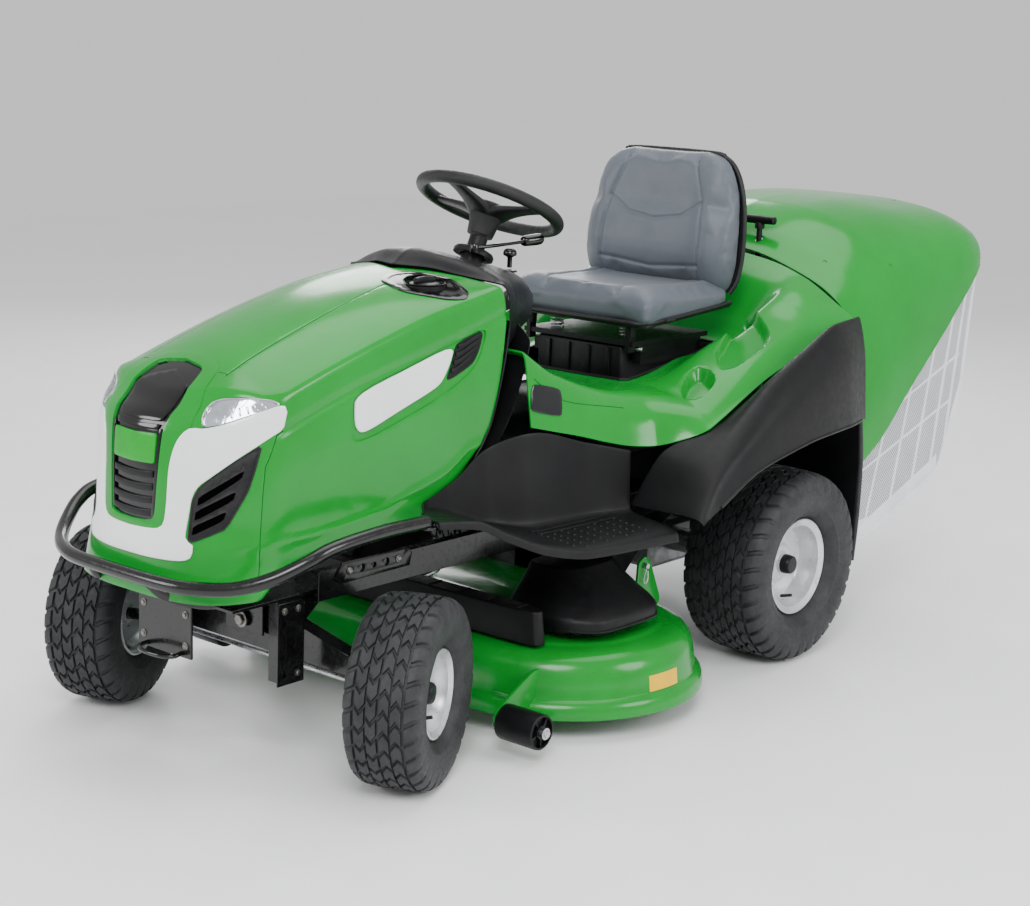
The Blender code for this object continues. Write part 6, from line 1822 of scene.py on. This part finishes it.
def bumper():
    half = [(0.0, -1.274, 0.42), (0.13, -1.270, 0.42), (0.20, -1.250, 0.422), (0.258, -1.213, 0.428),
            (0.303, -1.165, 0.446), (0.336, -1.108, 0.474), (0.346, -1.05, 0.493), (0.348, -0.92, 0.503),
            (0.350, -0.800, 0.503)]
    path = spline([(-x, y, z) for x, y, z in reversed(half[1:])] + half, 8)
    parts = [tube(path, 0.0138, 24)]
    for side in BOTH:
        parts.append(tube(spline([(side * 0.085, -1.272, 0.412), (side * 0.100, -1.245, 0.385),
                                  (side * 0.125, -1.190, 0.365), (side * 0.150, -1.150, 0.362)], 6),
                          0.0095, 14, flat=0.55))
        parts.append(rounded_box((side * 0.350 - 0.014, -0.812, 0.488), (side * 0.350 + 0.014, -0.786,
                0.494), 0.0015))
    piece("bumper_tube", joined(parts), "steel_black", "chassis", ("bumper_bar",), 40.0)


def chassis():
    for name, skin, bevel in (("frame_rail_left", "steel_black", 0.0012), ("frame_rail_right",
            "steel_black", 0.0012), ("front_crossmember", "steel_black", 0.0014),
                              ("front_axle", "steel_black", 0.0025), ("knuckle_left", "steel_black",
            0.0014), ("knuckle_right", "steel_black", 0.0014), ("tie_rod", "steel", 0.0012),
                              ("engine_block", "cast", 0.003), ("fan_housing", "black", 0.003),
                              ("muffler", "cast", 0.006), ("fuel_tank", "black_sheen", 0.005),
                              ("battery", "black", 0.003), ("transaxle", "cast", 0.003),
                              ("discharge_chute", "black", 0.0012), ("height_lever", "black", 0.0018),
                              ("brake_pedal", "grip", 0.0015), ("drive_pedal", "grip", 0.0015),
                              ("blade_left", "steel", 0.0004), ("blade_right", "steel", 0.0004)):
        dress(name, skin, bevel)
    plates = []
    for side in BOTH:
        plate = upright(side, [(-1.052, 0.185), (-0.982, 0.185), (-0.982, 0.352), (-1.052, 0.352)],
                        0.1975, 0.2010, 0.0)
        holes = [rod((side * 0.15, y, z), (side * 0.25, y, z), r, 24) for y, z,
                 r in ((-1.035, 0.335, 0.0055), (-0.999, 0.335, 0.0055), (-1.035, 0.205, 0.0055),
                       (-0.999, 0.205, 0.0055), (-1.017, 0.270, 0.012))]
        plates.append(beveled(boolean(plate, holes), 0.0008, 2))
        plate = upright(side, [(-0.925, 0.382), (-0.905, 0.414), (-0.720, 0.414), (-0.705, 0.400),
                               (-0.712, 0.374), (-0.905, 0.372)], 0.2225, 0.2262, 0.0)
        holes = [rod((side * 0.15, y, 0.394), (side * 0.25, y, 0.394), r, 24) for y,
                 r in ((-0.885, 0.006), (-0.850, 0.0085), (-0.815, 0.006), (-0.780, 0.0085),
                       (-0.745, 0.006))]
        plates.append(beveled(boolean(plate, holes), 0.0008, 2))
        plates.append(upright(side, [(-0.990, 0.300), (-0.965, 0.300), (-0.900, 0.352), (-0.900, 0.362),
                                     (-0.990, 0.362)], 0.180, 0.186, 0.001))
    for side in BOTH:
        plates.append(tube(spline([(side * 0.050, -1.166, 0.245), (side * 0.050, -1.185, 0.243),
                                   (side * 0.030, -1.200, 0.243), (0.0, -1.204, 0.243)], 6), 0.0048, 12))
    piece("frame_brackets", joined(plates), "steel_black", "chassis", (), 40.0)
    bolts = []
    for side in BOTH:
        for y, z in ((-1.035, 0.335), (-0.999, 0.205), (-0.999, 0.335)):
            bolts.append(bolt((side * 0.2012, y, z), (side, 0, 0), 0.0052, 0.004))
        for y in (-0.885, -0.745):
            bolts.append(bolt((side * 0.2264, y, 0.394), (side, 0, 0), 0.0052, 0.004))
        bolts.append(bolt((side * 0.062, -1.1655, 0.325), (0, -1, 0), 0.0052, 0.004))
        bolts.append(bolt((side * 0.062, -1.1655, 0.262), (0, -1, 0), 0.0052, 0.004))
    bolts.append(bolt((0.0, -0.9665, 0.262), (0, -1, 0), 0.012, 0.008))
    piece("frame_bolts", joined(bolts), "zinc", "chassis", (), 40.0)
    for label, side in SIDES:
        at = Vector((side * KINGPIN_X, AXLE_Y, 0.0))
        cap = [lathe([(0.0, 0.2596), (0.014, 0.2596), (0.0135, 0.2640), (0.009, 0.2675), (0.0, 0.2685)],
                     28, None, at)]
        piece(f"kingpin_cap_{label}", joined(cap), "steel", f"knuckle_{label}", (), 40.0)
    joints = []
    for side in BOTH:
        at = Vector((side * KINGPIN_X - math.sin(STEERED) * ARM, AXLE_Y + math.cos(STEERED) * ARM, 0.0))
        joints.append(lathe([(0.0, 0.132), (0.010, 0.132), (0.0145, 0.138), (0.0150, 0.148),
                             (0.0125, 0.1585), (0.0, 0.1585)], 28, None, at))
    piece("tie_rod_ball_joints", joined(joints), "grip", "tie_rod", (), 40.0)


# Studio
def studio():
    data = bmesh.new()
    corners = [data.verts.new((x, y, 0.0)) for x, y in ((-9, -9), (9, -9), (9, 9), (-9, 9))]
    data.faces.new(corners)
    kept = bpy.data.meshes.new("floor")
    data.to_mesh(kept)
    data.free()
    kept.materials.append(surface("pale_floor", (0.93, 0.93, 0.935), (0.96, 0.96, 0.965), (0.35, 0.5),
                                  1.5))
    floor = bpy.data.objects.new("floor", kept)
    bpy.context.scene.collection.objects.link(floor)
    for name, place, aim, size, power in (("key", (2.6, -3.4, 3.6), (0.1, -0.4, 0.5), 2.2, 170.0),
                                          ("side", (4.2, 0.8, 2.2), (0.2, 0.0, 0.5), 2.0, 90.0),
                                          ("front", (-2.2, -4.2, 2.0), (0.0, -0.8, 0.5), 1.8, 75.0),
                                          ("overhead", (0.0, 0.6, 4.8), (0.0, 0.2, 0.5), 4.2, 125.0),
                                          ("rear", (-3.2, 3.2, 2.8), (0.0, 0.4, 0.6), 2.4, 90.0)):
        light = bpy.data.lights.new(name, "AREA")
        light.shape = "DISK"
        light.size = size
        light.energy = power
        made = bpy.data.objects.new(name, light)
        made.location = place
        made.rotation_euler = (Vector(aim) - Vector(place)).to_track_quat("-Z", "Y").to_euler()
        bpy.context.scene.collection.objects.link(made)
    world = bpy.data.worlds.new("studio")
    bpy.context.scene.world = world
    world.use_nodes = True
    back = world.node_tree.nodes["Background"]
    back.inputs["Color"].default_value = (1.0, 1.0, 1.0, 1.0)
    back.inputs["Strength"].default_value = 0.80


def write_size():
    def plain(bounds):
        return [[round(float(value), 6) for value in corner] for corner in bounds]


camera()
hood()
fuel_cap_piece()
dash()
bulkheads()
steering()
console_controls()
wheels()
rear_body()
fenders()
rear_panel()
seat()
catcher_lid()
basket()
deck()
bumper()
chassis()
studio()
write_size()
